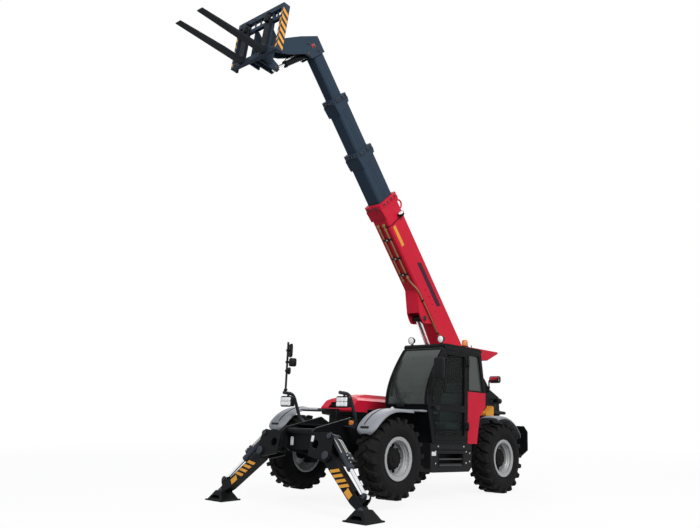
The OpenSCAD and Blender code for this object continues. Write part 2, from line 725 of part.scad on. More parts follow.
module cab_glass() {
  l = cab_left;
  r = cab_right;
  t = wall_t;
  g = glass_t;
  color("#8fa39a") {
    side_plate(concat(screen_line, [for (i = [8 : -1 : 0]) screen_line[i] - [g + 2, 0]]), r + t + 0.5,
      l - t - 0.5);
    side_plate([[door_rear - 60, 1790], [door_rear - 60, cab_top - 70], [790, cab_top - 70], [650,
      1790]], l - 30, l - 30 + g);
    side_plate(concat([[1000, 1340], [2225, 1500]], bez([2222, 1560], [2236, 1890], [1780, cab_top - 70], 6),
      [[790, cab_top - 70], [690, 1800], [830, 1500]]), r + 20, r + 20 + g);
    intersection() {
      span([400, r + t + 40, 1790], [900, l - t - 40, cab_top - 80]);
      side_plate([cab_rear_top + [20, 0], cab_rear_mid + [20, 0], cab_rear_mid + [20 + g, 0],
        cab_rear_top + [20 + g, 0]], r, l);
    }
  }
}

module seat() {
  m = (cab_left + cab_right) / 2;
  color("#2a2c30") {
    span([1000, m - 200, cab_low + 40], [1400, m + 200, cab_low + 230]);
    span([980, m - 240, cab_low + 229], [1470, m + 240, cab_low + 350]);
    side_plate([[1000, cab_low + 300], [1110, cab_low + 330], [1000, cab_low + 900], [920,
      cab_low + 900]], m - 230, m + 230);
    side_plate([[935, cab_low + 880], [1000, cab_low + 880], [985, cab_low + 1060], [930,
      cab_low + 1060]], m - 130, m + 130);
    for (s = [-1, 1]) span([1010, m + s * 275 - 35, cab_low + 500], [1330, m + s * 275 + 35, cab_low + 550]);
    for (s = [-1, 1]) span([1010, m + s * 255 - 50, cab_low + 300], [1060, m + s * 255 + 50, cab_low + 510]);
  }
}

module console() {
  m = (cab_left + cab_right) / 2;
  color("#26282c") {
    side_plate([[1930, cab_low + 40], [2120, cab_low + 40], [2190, 1440], [2090, 1470], [1960, 1420]],
      m - 190, m + 190);
    rod([1990, m, 1420], [1818, m, 1571], 32);
    translate([1818, m, 1571]) rotate([0, -48, 0]) {
      rotate_extrude() translate([185, 0]) circle(r = 16);
      cylinder(r = 50, h = 24, center = true);
      for (a = [0, 120, 240]) rotate([0, 0, a]) translate([30, -14, -7]) cube([160, 28, 14]);
    }
  }
}

module door() {
  l = cab_left;
  t = wall_t;
  color("#191b1e") union() {
    difference() {
      side_plate(door_line(6), l - t, l);
      side_plate(concat([[door_rear + 66, 1500], [2195, 1530]], bez([2180, 1580], [2196, 1890], [1790,
        cab_top - 120], 6),
        [[door_rear + 66, cab_top - 120]]), l - t - 1, l + 1);
      side_plate([[door_rear + 66, cab_low + 120], [2075, cab_low + 120], [2170, 1380], [2160, 1400],
        [door_rear + 66, 1400]],
        l - t - 1, l + 1);
    }
    for (z = [1120, 2220]) difference() {
      union() {
        bar_z(door_hinge[0], door_hinge[1], 15, z, z + 110);
        span([door_hinge[0], l + 8, z], [door_rear + 60, l + 30, z + 110]);
        span([door_rear + 10, l - 1, z], [door_rear + 60, l + 9, z + 110]);
      }
      bar_z(door_hinge[0], door_hinge[1], 8 + fit, z - 1, z + 111);
    }
    span([2030, l - 1, 1425], [2160, l + 24, 1465]);
  }
}

module door_glass() {
  l = cab_left;
  g = glass_t;
  color("#8fa39a") {
    side_plate(concat([[door_rear + 66, 1500], [2195, 1530]], bez([2180, 1580], [2196, 1890], [1790,
      cab_top - 120], 6),
      [[door_rear + 66, cab_top - 120]]), l - 28, l - 28 + g);
    side_plate([[door_rear + 66, cab_low + 120], [2075, cab_low + 120], [2170, 1380], [2160, 1400],
      [door_rear + 66, 1400]],
      l - 28, l - 28 + g);
  }
}

// lamps and mirrors

lamp_x = front_x + 690;
lamp_y = 640;
lamp_z = 1448;
lamp_h = 156;
guard_r = 28;
guard_z = 1586;
module lamp_guards() {
  color("#191a1d") for (s = [true, false]) on_side(s) {
    bent_tube([[front_x + 330, lamp_y - 95, 1085], [front_x + 400, lamp_y, 1185], [lamp_x - 110, lamp_y,
      guard_z - 8],
      [lamp_x + 110, lamp_y, guard_z + 4]], guard_r);
    span([front_x + 280, frame_y, 1070], [front_x + 380, lamp_y - 100, 1095]);
    span([front_x + 295, lamp_y - 128, 1052], [front_x + 365, lamp_y - 64, 1118]);
    span([lamp_x - 20, lamp_y - 12, lamp_z + lamp_h / 2], [lamp_x + 20, lamp_y + 12, guard_z]);
  }
}

module headlamps() {
  h = lamp_h / 2;
  color("#2a2b2e") for (s = [true, false]) on_side(s) translate([lamp_x, lamp_y, lamp_z]) {
    span([-55, -100, -h], [40, 100, h]);
    span([39, -88, -h + 12], [48, 88, h - 12]);
  }
}

module mirrors() {
  color("#191a1d") {
    bar_z(lamp_x + 70, -lamp_y, 15, guard_z + 2 + guard_r + fit, 2430);
    bar_x(-lamp_y, 2400, 10, lamp_x - 20, lamp_x + 70);
    span([lamp_x - 52, -lamp_y - 75, 2150], [lamp_x - 20, -lamp_y + 75, 2420]);
    span([lamp_x - 60, -lamp_y - 110, 1880], [lamp_x - 15, -lamp_y + 110, 2120]);
    bar_x(-lamp_y, 2000, 10, lamp_x - 20, lamp_x + 70);
    span([2098, cab_left, 2020], [2130, cab_left + 14, 2080]);
    rod([2114, cab_left + 10, 2050], [2420, cab_left + 290, 2070], 12);
    span([2395, cab_left + 205, 1900], [2440, cab_left + 385, 2240]);
    bar_z(-800, frame_y + 30, 14, 1880, 2150);
    for (z = [1885, 1955]) span([-825, frame_y, z], [-775, frame_y + 40, z + 24]);
    span([-920, frame_y - 20, 2070], [-888, frame_y + 230, 2200]);
    bar_x(frame_y + 30, 2118, 12, -895, -800);
  }
}

module roof_lamps() {
  z = cab_top + roof_t;
  color("#e4e6e8") for (y = [cab_right + 130, cab_left - 130]) {
    span([1740, y - 30, z], [1800, y + 30, z + 22]);
    span([1725, y - 75, z + 20], [1815, y + 75, z + 110]);
  }
}

module beacon() {
  z = cab_top + roof_t + 18;
  color("#e07b1a") translate([1050, cab_left - 130, z]) {
    cylinder(r = 62, h = 24);
    translate([0, 0, 23]) cylinder(r = 55, h = 100);
    translate([0, 0, 120]) cylinder(r1 = 55, r2 = 30, h = 22);
  }
}

module rear_lamps() {
  color("#7c1418") for (s = [true, false]) on_side(s) {
    span([-tail_reach + 40, 660, 1010], [-tail_reach + 70, 860, 1110]);
  }
}

// boom

// hollow section with clipped corners, from x0 to x1 along the boom
module tube_section(d, w, t, x0, x1) {
  difference() {
    front_plate(clipped(d, w, 26), x0, x1);
    front_plate(clipped(d - 2 * t, w - 2 * t, 20), x0 - 1, x1 + 1);
  }
}

function clipped(d, w, c) = [[-w / 2 + c, -d / 2], [w / 2 - c, -d / 2], [w / 2, -d / 2 + c], [w / 2,
  d / 2 - c],
  [w / 2 - c, d / 2], [-w / 2 + c, d / 2], [-w / 2, d / 2 - c], [-w / 2, -d / 2 + c]];

// collar at the mouth of a section, closing down to the next section's size
module collar(d, w, dn, wn, x1) {
  difference() {
    union() {
      front_plate(clipped(d + 64, w + 44, 30), x1 - 90, x1);
      side_plate([[x1 - collar_len, -d / 2 - 8], [x1 - 90, -d / 2 - 30], [x1 - 80, d / 2 + 30],
        [x1 - collar_len * 0.55, d / 2 + 8]],
        -w / 2 - 12, w / 2 + 12);
    }
    front_plate(clipped(dn + 2 * fit, wn + 2 * fit, 26), x1 - 91, x1 + 1);
    front_plate(clipped(d - 2 * boom_t, w - 2 * boom_t, 20), x1 - collar_len * 2, x1 - 60);
  }
}

module boom_outer() {
  d = boom_d;
  w = boom_w;
  i = frame_y - plate_t - 8;
  color("#c0232f") on_boom() difference() {
    union() {
      tube_section(d, w, boom_t, -230, outer_len - 60);
      collar(d, w, d2, w2, outer_len);
      bar_y(0, 0, 100, -i - boom_y, i - boom_y);
      for (y = [-w / 2 + 20, w / 2 - 44]) {
        side_plate([[lift_a - 240, -d / 2 + 4], [lift_a + 540, -d / 2 + 4], [lift_a + 160, lift_n - 66],
          [lift_a + 40, lift_n - 92], [lift_a - 50, lift_n - 88], [lift_a - 104, lift_n - 30]], y, y + 24);
        bar_y(lift_a, lift_n, 66, y - 12, y + 36);
      }
    }
    bar_y(0, 0, 55 + fit, -i - boom_y - 1, i - boom_y + 1);
  }
}

module boom_second() {
  color("#27313c") on_boom() {
    tube_section(d2, w2, boom_t, tail2, mouth2 - 60);
    collar(d2, w2, d3, w3, mouth2);
    runner(boom_d, boom_w, d2, w2, tail2);
  }
}

module boom_third() {
  color("#27313c") on_boom() {
    tube_section(d3, w3, boom_t, tail3, mouth3 - 60);
    collar(d3, w3, d4, w4, mouth3);
    runner(d2, w2, d3, w3, tail3);
  }
}

// wear pads at a section's tail, running inside the section outside it
module runner(d, w, dn, wn, x0) {
  for (s = [-1, 1]) {
    z = s * (d / 2 - boom_t - fit);
    span([x0, -wn / 2 + 45, min(z, s * (dn / 2 - 2))], [x0 + 160, wn / 2 - 45, max(z, s * (dn / 2 - 2))]);
    y = s * (w / 2 - boom_t - fit);
    span([x0, min(y, s * (wn / 2 - 2)), -dn / 2 + 60], [x0 + 160, max(y, s * (wn / 2 - 2)), dn / 2 - 60]);
  }
}

module boom_tip() {
  h = head_a - head_back;
  top = d4 / 2 + 14;
  color("#27313c") on_boom() {
    tube_section(d4, w4, boom_t, tail4, h);
    runner(d3, w3, d4, w4, tail4);
    for (y = [-w4 / 2 - 24, w4 / 2]) side_plate([[h - 110, top], [h + 180, top], [head_a, -260],
      [head_a + 80, -620],
      [head_a + 95, -head_drop + 70], [head_a + 62, -head_drop - 76], [head_a - 50, -head_drop - 90],
      [head_a - 120, -head_drop + 40], [head_a - 165, -head_drop + 130], [h + 10, -330], [h - 110,
        -215]], y, y + 24);
    side_plate([[h - 110, top], [h + 180, top], [head_a, -260], [head_a + 80, -620], [head_a + 88, -720],
      [head_a + 64, -720], [head_a + 56, -624], [head_a - 24, -264], [h + 166, d4 / 2], [h - 110, d4 / 2]],
      -w4 / 2 - 1, w4 / 2 + 1);
    bar_y(head_a, -head_drop, 45, -w4 / 2 - 60, w4 / 2 + 60);
    bar_y(tilt_base[0], tilt_base[1], 25, -w4 / 2 - 1, w4 / 2 + 1);
  }
}

// lift and tilt cylinders

module lift_barrel() {
  color("#17181b") translate([lift_base[0], boom_y, lift_base[1]]) rotate([0, -lift_ang, 0])
    barrel(lift_barrel_l, lift_r, lift_rod_r, 85, 160, 42);
}

module lift_rod() {
  color("#c8ccd0") translate([lift_base[0], boom_y, lift_base[1]]) rotate([0, -lift_ang, 0])
    piston(lift_barrel_l - 480, lift_len, lift_rod_r, lift_r * 0.8, 60, 150);
}

module on_tilt() { on_boom() translate([tilt_base[0], 0, tilt_base[1]]) rotate([0, -tilt_ang,
  0]) children(); }

module tilt_barrel() { color("#17181b") on_tilt() barrel(540, tilt_r, 27, 48, 90, 25); }

module tilt_rod() { color("#c8ccd0") on_tilt() piston(242, tilt_len, 27, tilt_r * 0.8, 36, 70); }

// carriage and forks

module carriage() {
  b = car_back;
  t = car_t;
  h = carriage_h;
  w = carriage_w / 2;
  z0 = car_low;
  color("#20252c") on_carriage() {
    for (z = [z0, z0 + h - 90]) span([b, -w, z], [b + t, w, z + 90]);
    span([b, -w, z0 + h - 260], [b + t - 15, w, z0 + h - 200]);
    for (y = [-w, w - 40]) span([b - 60, y, z0], [b + t, y + 40, z0 + h]);
    for (y = [-w / 2 - 40, w / 2 + 10]) span([b, y, z0], [b + t - 20, y + 30, z0 + h - 1]);
    for (y = [-170, 140]) difference() {
      side_plate([[b + 1, z0 + 5], [b + 1, z0 + 640], [b - 60, z0 + 640], [60, 75], [-20, 85], [-75, 40],
        [-75, -30], [-10, -80],
        [100, -150], [100, z0 + 5]], y, y + 30);
      bar_y(0, 0, 45 + fit, y - 1, y + 31);
    }
    for (y = [-72, 46]) side_plate([[b + 1, z0 + 5], [b + 1, z0 + 190], [60, z0 + 190],
      [tilt_end_c[0] - 30, tilt_end_c[1] + 60],
      [tilt_end_c[0] - 62, tilt_end_c[1]], [tilt_end_c[0] - 30, tilt_end_c[1] - 60], [60, z0 + 5]], y,
        y + 26);
  }
}

module forks() {
  x0 = car_back + car_t;
  color("#17181b") on_carriage() for (y = [-fork_gap / 2, fork_gap / 2]) {
    side_plate([[x0, fork_z], [tip_x, fork_z], [tip_x, fork_z + 14], [x0 + 420, fork_z + fork_t],
      [x0 + 90, fork_z + fork_t], [x0 + 52, fork_z + fork_t + 32], [x0 + 44, fork_z + 560], [x0,
        fork_z + 560]],
      y - fork_w / 2, y + fork_w / 2);
  }
}

// drawing

whole() {
  chassis_frame();
  frame_plate(true);  // frame_plate_l
  frame_plate(false);  // frame_plate_r
  front_axle();
  rear_axle();
  counterweight();
  stabiliser_beam();
  engine_bay();
  engine_block();
  engine_lid();
  step_tank();
  front_fenders();
  rear_fenders();
  cab_shell();
  cab_roof();
  roof_cowl();
  quarter_panel();
  cab_glass();
  seat();
  console();
  door();
  door_glass();
  headlamps();
  lamp_guards();
  mirrors();
  roof_lamps();
  beacon();
  rear_lamps();
  boom_outer();
  boom_second();
  boom_third();
  boom_tip();
  lift_barrel();
  lift_rod();
  tilt_barrel();
  tilt_rod();
  carriage();
  forks();
  stab_leg(true);  // stab_leg_l
  stab_leg(false);  // stab_leg_r
  stab_barrel(true);  // stab_barrel_l
  stab_barrel(false);  // stab_barrel_r
  stab_rod(true);  // stab_rod_l
  stab_rod(false);  // stab_rod_r
  knuckle(true, true);  // knuckle_fl
  knuckle(true, false);  // knuckle_fr
  knuckle(false, true);  // knuckle_rl
  knuckle(false, false);  // knuckle_rr
  rim(true, true);  // rim_fl
  rim(true, false);  // rim_fr
  rim(false, true);  // rim_rl
  rim(false, false);  // rim_rr
  tyre(true, true);  // tyre_fl
  tyre(true, false);  // tyre_fr
  tyre(false, true);  // tyre_rl
  tyre(false, false);  // tyre_rr
}
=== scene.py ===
import json

import bpy
import numpy as np
from bpy.props import FloatProperty, FloatVectorProperty, IntProperty, PointerProperty
from mathutils import Matrix


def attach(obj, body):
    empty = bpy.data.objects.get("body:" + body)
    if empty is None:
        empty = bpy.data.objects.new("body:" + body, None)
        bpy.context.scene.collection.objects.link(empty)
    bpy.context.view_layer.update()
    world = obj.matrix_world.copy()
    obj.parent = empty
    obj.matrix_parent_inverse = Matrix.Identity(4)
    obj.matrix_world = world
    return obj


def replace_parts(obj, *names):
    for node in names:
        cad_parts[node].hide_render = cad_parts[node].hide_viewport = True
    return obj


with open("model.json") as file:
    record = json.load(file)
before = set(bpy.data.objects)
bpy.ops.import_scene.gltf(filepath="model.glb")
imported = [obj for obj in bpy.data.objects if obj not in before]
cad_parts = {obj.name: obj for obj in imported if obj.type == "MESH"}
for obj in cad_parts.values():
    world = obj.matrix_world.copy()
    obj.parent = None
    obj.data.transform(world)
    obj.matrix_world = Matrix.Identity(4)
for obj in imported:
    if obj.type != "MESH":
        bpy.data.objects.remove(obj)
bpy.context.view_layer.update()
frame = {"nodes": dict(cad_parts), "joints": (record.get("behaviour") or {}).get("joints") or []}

bl_info = {
    "name": "Telehandler dressing",
    "version": (1, 0, 0),
    "blender": (4, 5, 0),
    "location": "View3D > Sidebar > Telehandler",
    "description": "Finishes and detail pieces for a telescopic handler with stabilisers",
    "category": "Object",
}

NODES = frame["nodes"]
JOINTS = {joint["name"]: joint for joint in frame["joints"]}
WHEELS = ("fl", "fr", "rl", "rr")
SIDES = {"l": 1.0, "r": -1.0}
BOTH = tuple(SIDES.values())
WHEELBASE = 3.080
AXLE_HEIGHT = 0.625
FENDER_MIDDLE = 1.015
SCREEN = np.array([(2.310, 1.480), (2.345, 1.875), (1.820, 2.490)])
SEAT_MIDDLE = 0.7075
FLOOR_POINTS = 13
PAD_COLUMNS, PAD_ROWS = 72, 30
SENSOR_WIDTH = 36.0
CLIP_END = 500.0
LAMPS_AIM = np.array([0.0, 0.0, 2.5])
TINY = 1e-9
Y_AXIS = np.array([0.0, 1.0, 0.0])
Z_AXIS = np.array([0.0, 0.0, 1.0])
UP = np.array(JOINTS["steer_fl"]["axis"])
FORWARD = np.array([UP[2], 0.0, -UP[0]])
AXLE = np.array(JOINTS["wheel_rl"]["pos_m"]) * (1, 0, 1)
BOOM_PIVOT = np.array(JOINTS["boom_lift"]["pos_m"])
BOOM_ALONG = np.array(JOINTS["extend_second"]["axis"])
BOOM_UP = np.array([-BOOM_ALONG[2], 0.0, BOOM_ALONG[0]])
CARRIAGE_PIVOT = np.array(JOINTS["carriage_tilt"]["pos_m"])
FORK_TILT = np.radians(7.0)
FORK_ALONG = np.cos(FORK_TILT) * FORWARD + np.sin(FORK_TILT) * UP
FORK_UP = np.cos(FORK_TILT) * UP - np.sin(FORK_TILT) * FORWARD
LEG_PIVOT = np.array(JOINTS["stabiliser_l"]["pos_m"])
LEG_X = np.array(JOINTS["stabiliser_l"]["axis"])
LEG_UP = np.array([-LEG_X[2], 0.0, LEG_X[0]])
LEG_LENGTH = 1.080
FOOT_HEIGHT = 0.130
LEG_ANGLE = np.arcsin((LEG_PIVOT[2] - FOOT_HEIGHT) / (LEG_UP[2] * LEG_LENGTH))


# properties that a user would change


def colour(name, words, value):
    """A colour property with its default in linear values."""
    return FloatVectorProperty(name=name, description=words, default=value, subtype="COLOR", size=3, min=0, max=1)


def length(name, words, value):
    """A length property in metres."""
    return FloatProperty(name=name, description=words, default=value, unit="LENGTH", subtype="DISTANCE", min=0)


class TelehandlerPaint(bpy.types.PropertyGroup):
    """Colours of the machine's paints, plastics and rubber."""

    red: colour("Boom red", "Paint of the outer boom, lid and cowl", (0.69, 0.014, 0.045))
    slate: colour("Section slate", "Paint of the inner boom sections", (0.030, 0.050, 0.078))
    black: colour("Chassis black", "Paint of the chassis and stabilisers", (0.0065, 0.0070, 0.0080))
    cab: colour("Cab black", "Paint of the cab and door", (0.0045, 0.0050, 0.0062))
    grey: colour("Fender grey", "Moulded plastic of the fenders", (0.29, 0.305, 0.335))
    silver: colour("Rim silver", "Paint of the rims", (0.46, 0.48, 0.51))
    rubber: colour("Rubber", "Tyres and seals", (0.011, 0.011, 0.012))
    yellow: colour("Stripe yellow", "Stripes and blank plates", (0.86, 0.40, 0.035))
    amber: colour("Amber", "Beacon and side markers", (0.90, 0.24, 0.015))
    seat: colour("Seat cloth", "Cloth of the seat", (0.045, 0.115, 0.110))


class TelehandlerSizes(bpy.types.PropertyGroup):
    """Sizes of the dressing pieces."""

    bolt: length("Bolt", "Width over the flats of a common bolt head", 0.024)
    pipe: length("Pipe", "Radius of the steel pipes on the boom", 0.016)
    decal: length("Decal", "Thickness of a stripe or blank plate", 0.0016)
    nuts: IntProperty(name="Wheel nuts", description="Nuts on each wheel", default=10, min=5, max=12)


class TelehandlerStage(bpy.types.PropertyGroup):
    """Camera and floor."""

    place: FloatVectorProperty(name="Camera place", description="Where the camera stands on the machine",
                               default=(12.150, 8.481, 1.082), subtype="TRANSLATION", size=3)
    yaw: FloatProperty(name="Yaw", description="Heading of the view", default=np.radians(223.085), subtype="ANGLE")
    pitch: FloatProperty(name="Pitch", description="Rise of the view", default=np.radians(12.569), subtype="ANGLE")
    roll: FloatProperty(name="Roll", description="Turn of the picture", default=np.radians(2.347), subtype="ANGLE")
    lens: FloatProperty(name="Lens", description="Focal length in mm on a 36 mm sensor", default=37.457, min=10)
    floor: length("Floor", "Half the width of the floor", 60.0)


# places on the machine; each takes numbers or arrays of them


def spread(origin, axes, *values):
    """Points at an origin plus each value times its axis."""
    values = np.broadcast_arrays(*(np.asarray(value, float) for value in values))
    return origin + sum(value[..., None] * axis for value, axis in zip(values, axes))


def at(x, y, z):
    """A point on the leaning machine, in metres: x ahead of the rear axle, y to the left, z over its own level."""
    return spread(AXLE, (FORWARD, Y_AXIS, UP), x, y, np.asarray(z, float) - AXLE[2])


def on_boom(a, y, n):
    """A point a metres along the boom from its pivot, y to the left of its middle and n over its middle line."""
    return spread(BOOM_PIVOT, (BOOM_ALONG, Y_AXIS, BOOM_UP), a, y, n)


def on_carriage(x, y, z):
    """A point on the carriage: x ahead of its pivot along the forks, y to the left, z at right angles to them."""
    return spread(CARRIAGE_PIVOT, (FORK_ALONG, Y_AXIS, FORK_UP), x, y, z)


def on_leg(side, x, a, n):
    """A point on a stabiliser leg: x ahead of its middle, a along it from its pivot, n over its middle line."""
    out, rise = np.cos(LEG_ANGLE), np.sin(LEG_ANGLE)
    axes = (LEG_X, side * out * Y_AXIS - rise * LEG_UP, side * rise * Y_AXIS + out * LEG_UP)
    return spread(LEG_PIVOT * (1, side, 1), axes, x, a, n)


# shapes: each is (points, quads, triangles) as arrays


def unit(v):
    """A vector or rows of vectors at length 1."""
    v = np.asarray(v, float)
    return v / np.linalg.norm(v, axis=-1, keepdims=True)


def outward(shape):
    """Turns a closed shape's faces round where its volume, a sum of tetrahedra from the origin, is negative."""
    points, quads, tris = shape
    rows = np.vstack([quads[:, [0, 1, 2]], quads[:, [0, 2, 3]], tris])
    p = points - points.mean(0)
    volume = np.einsum("ij,ij->i", p[rows[:, 0]], np.cross(p[rows[:, 1]], p[rows[:, 2]])).sum()
    return shape if volume >= 0 else (points, quads[:, ::-1], tris[:, ::-1])


def skin(rings, loop=False):
    """A closed surface through rings of points, an array of rings x points x 3: quads join each ring to the next,
    and either the last ring joins the first or a fan about each end ring's middle closes it."""
    rings = np.asarray(rings, float)
    m, n = rings.shape[:2]
    r = np.arange(m if loop else m - 1)[:, None]
    c = np.arange(n)[None, :]
    here, there, side = r * n, (r + 1) % m * n, (c + 1) % n
    quads = np.stack([here + c, here + side, there + side, there + c], -1).reshape(-1, 4)
    points, tris = rings.reshape(-1, 3), np.zeros((0, 3), int)
    if not loop:
        k, k2 = c[0], side[0]
        low, high = np.full(n, m * n), np.full(n, m * n + 1)
        tris = np.vstack([np.stack([low, k2, k], -1), np.stack([high, (m - 1) * n + k, (m - 1) * n + k2], -1)])
        points = np.vstack([points, rings[0].mean(0), rings[-1].mean(0)])
    return outward((points, quads, tris))


def joined(*shapes):
    """Several shapes as one, with the face numbers moved on."""
    starts = np.cumsum([0] + [len(s[0]) for s in shapes[:-1]])
    return tuple(np.vstack([part + (k if i else 0) for part, k in zip(parts, starts)])
                 for i, parts in enumerate(zip(*shapes)))


def axes_for(along):
    """Two unit vectors at right angles to a direction and to each other."""
    along = unit(along)
    helper = Z_AXIS if abs(along[2]) < 0.9 else np.array([1.0, 0, 0])
    u = unit(np.cross(helper, along))
    return u, np.cross(along, u)


def circle(u, v, count):
    """Points round a unit circle, or round one for each row of u: cos t times u plus sin t times v."""
    t = np.linspace(0, 2 * np.pi, count, endpoint=False)[:, None]
    return np.cos(t) * u[..., None, :] + np.sin(t) * v[..., None, :]


def lathe(profile, origin, along, sides, loop=False):
    """A profile of (radius, distance along the axis) pairs turned round an axis: each pair gives one ring."""
    profile = np.asarray(profile, float)
    rings = profile[:, 0, None, None] * circle(*axes_for(along), sides) + profile[:, 1, None, None] * unit(along)
    return skin(rings + np.asarray(origin, float), loop)


def eased(points, bend, steps=5):
    """A path through points with each corner eased: from bend metres before it to bend metres after it, the path
    follows (1-t)^2 a + 2t(1-t) corner + t^2 b."""
    p = np.asarray(points, float)
    if len(p) < 3 or bend <= 0:
        return p
    back, on = unit(p[:-2] - p[1:-1]), unit(p[2:] - p[1:-1])
    reach = np.minimum(bend, 0.45 * np.minimum(np.linalg.norm(p[:-2] - p[1:-1], axis=1),
                                               np.linalg.norm(p[2:] - p[1:-1], axis=1)))[:, None, None]
    t = np.linspace(0, 1, steps)[None, :, None]
    corner = p[1:-1][:, None]
    arc = corner + reach * ((1 - t) ** 2 * back[:, None] + t ** 2 * on[:, None])
    return np.vstack([p[:1], arc.reshape(-1, 3), p[-1:]])


def tube(points, radius, sides=10, bend=0.06, steps=5):
    """A round bar along an eased path: at each point a circle square to the path, its first axis being the path's
    direction crossed with the normal of the plane that the path lies nearest to."""
    path = eased(points, bend, steps)
    along = unit(np.gradient(path, axis=0))
    normal = np.linalg.svd(path - path.mean(0))[2][-1] if len(path) > 2 else axes_for(along[0])[0]
    u = unit(np.cross(along, normal) + TINY)
    return skin(path[:, None] + radius * circle(u, np.cross(along, u), sides))


def rounded(width, height, corner, steps=4):
    """A rectangle's outline with round corners: four quarter circles about the corners' middles."""
    corner = min(corner, 0.499 * width, 0.499 * height)
    t = np.linspace(0, np.pi / 2, steps)[None, :] + np.arange(4)[:, None] * np.pi / 2
    cx = np.array([1, -1, -1, 1])[:, None] * (width / 2 - corner)
    cy = np.array([1, 1, -1, -1])[:, None] * (height / 2 - corner)
    return np.stack([cx + corner * np.cos(t), cy + corner * np.sin(t)], -1).reshape(-1, 2)


def block(centre, size, along, across=None, edge=0.01, corner=None):
    """A block with eased edges: a rounded rectangle carried along an axis, shrunk towards both ends by a quarter
    circle of radius edge."""
    a, b, depth = size
    along = unit(along)
    u = axes_for(along)[0] if across is None else unit(across)
    edge = min(edge, 0.49 * min(size))
    t = np.linspace(0, np.pi / 2, 4)
    inset = np.concatenate([edge * (1 - np.sin(t)), edge * (1 - np.sin(t[::-1]))])[:, None]
    place = np.concatenate([-depth / 2 + edge * (1 - np.cos(t)), depth / 2 - edge * (1 - np.cos(t[::-1]))])[:, None]
    x, y = rounded(a, b, edge if corner is None else corner).T
    return skin(spread(np.asarray(centre, float), (u, np.cross(along, u), along), x * (a - 2 * inset) / a,
                       y * (b - 2 * inset) / b, place))


def slab(outline, normal, thick):
    """A thin plate: an outline of corner points carried along its normal by its thickness."""
    outline = np.asarray(outline, float)
    return skin(outline[None] + np.array([0, thick])[:, None, None] * unit(normal))


def bolts(points, normal, size, washer=True):
    """Hexagon bolt heads: rings of six points, in from a washer to the flats and over a chamfer to the crown, placed
    at every point at once."""
    points = np.atleast_2d(np.asarray(points, float))
    skirt = 1.05 if washer else 0.60
    profile = np.array([(skirt, -0.05), (skirt, 0.10), (0.60, 0.10), (0.60, 0.52), (0.50, 0.60)])
    head = lathe(size * profile, np.zeros(3), normal, 6)
    shift = (np.arange(len(points)) * len(head[0]))[:, None, None]
    return ((points[:, None] + head[0][None]).reshape(-1, 3), (head[1][None] + shift).reshape(-1, 4),
            (head[2][None] + shift).reshape(-1, 3))


def ring(centre, normal, radius, count):
    """Points evenly round a circle of the radius about the centre, square to the normal."""
    return centre + radius * circle(*axes_for(normal), count)


def hoop(points, radius, sides=8):
    """A closed round bar: each ring stands square to the mean of the two steps that meet at its point."""
    p = np.asarray(points, float)
    ahead = unit(np.roll(p, -1, axis=0) - np.roll(p, 1, axis=0))
    normal = unit(np.cross(p - p.mean(axis=0), ahead).sum(axis=0))
    return skin(p[:, None] + radius * circle(unit(np.cross(ahead, normal)), normal, sides), True)


def bezier(t, first, middle, last):
    """A quadratic Bezier curve at t: (1-t)^2 first + 2t(1-t) middle + t^2 last."""
    return (1 - t) ** 2 * first + 2 * t * (1 - t) * middle + t ** 2 * last


def on_screen(t, y, off):
    """Places on the windscreen: t goes up its curve from 0 to 1, y runs across, off stands out along its normal."""
    t = np.asarray(t, float)[..., None]
    x, z = np.moveaxis(bezier(t, *SCREEN), -1, 0)
    dx, dz = np.moveaxis(unit((1 - t) * (SCREEN[1] - SCREEN[0]) + t * (SCREEN[2] - SCREEN[1])), -1, 0)
    return at(x + off * dz, y, z - off * dx)


def grid_quads(index):
    """The quads of a grid of point numbers: each point with its neighbours in the next row and column."""
    return np.stack([index[:-1, :-1], index[1:, :-1], index[1:, 1:], index[:-1, 1:]], axis=-1).reshape(-1, 4)


def shell(outer, inner):
    """A closed sheet: two grids of the same shape, joined along their border by strips."""
    rows, columns = outer.shape[:2]
    points = np.concatenate([outer.reshape(-1, 3), inner.reshape(-1, 3)])
    index = np.arange(rows * columns).reshape(rows, columns)
    quads = grid_quads(index)
    border = np.concatenate([index[0, :-1], index[:-1, -1], index[-1, :0:-1], index[:0:-1, 0]])
    after = np.roll(border, -1)
    base = rows * columns
    strip = np.stack([border, after, after + base, border + base], axis=-1)
    return outward((points, np.concatenate([quads, quads[:, ::-1] + base, strip[:, ::-1]]), np.zeros((0, 3), int)))


def pad(centre, size, along, across, crown=0.012, pull=0.05, seams=(), power=0.32):
    """A stuffed cushion: a superellipsoid whose crown rises as the product of two parabolas, whose sides are pulled in
    between the corners, and whose sewn channels are narrow bell curves across it."""
    rise = np.cross(along, across)
    u = np.arange(PAD_COLUMNS) * 2 * np.pi / PAD_COLUMNS
    v = np.linspace(-np.pi / 2, np.pi / 2, PAD_ROWS)[1:-1, None]
    waves = np.cos(u), np.sin(u), np.cos(v), np.sin(v)
    cu, su, cv, sv = (np.sign(wave) * np.abs(wave) ** power for wave in waves)
    x, y, z = cv * cu, cv * su, sv + 0 * u
    deep = sum((np.exp(-((x - seam) / 0.05) ** 2) for seam in seams), np.zeros_like(x))
    lift = size[2] / 2 * z + (crown * (1 - x ** 2) * (1 - y ** 2) - 0.007 * deep) * z
    return skin(spread(centre, (along, across, rise), size[0] / 2 * x * (1 - pull * (1 - y ** 2)),
                       size[1] / 2 * y * (1 - pull * (1 - x ** 2)), lift))


def mesh_object(name, points, faces):
    """A mesh object in the scene, of points and lists of their numbers."""
    mesh = bpy.data.meshes.new(name)
    mesh.from_pydata(points.tolist(), [], faces)
    thing = bpy.data.objects.new(name, mesh)
    bpy.context.scene.collection.objects.link(thing)
    return thing


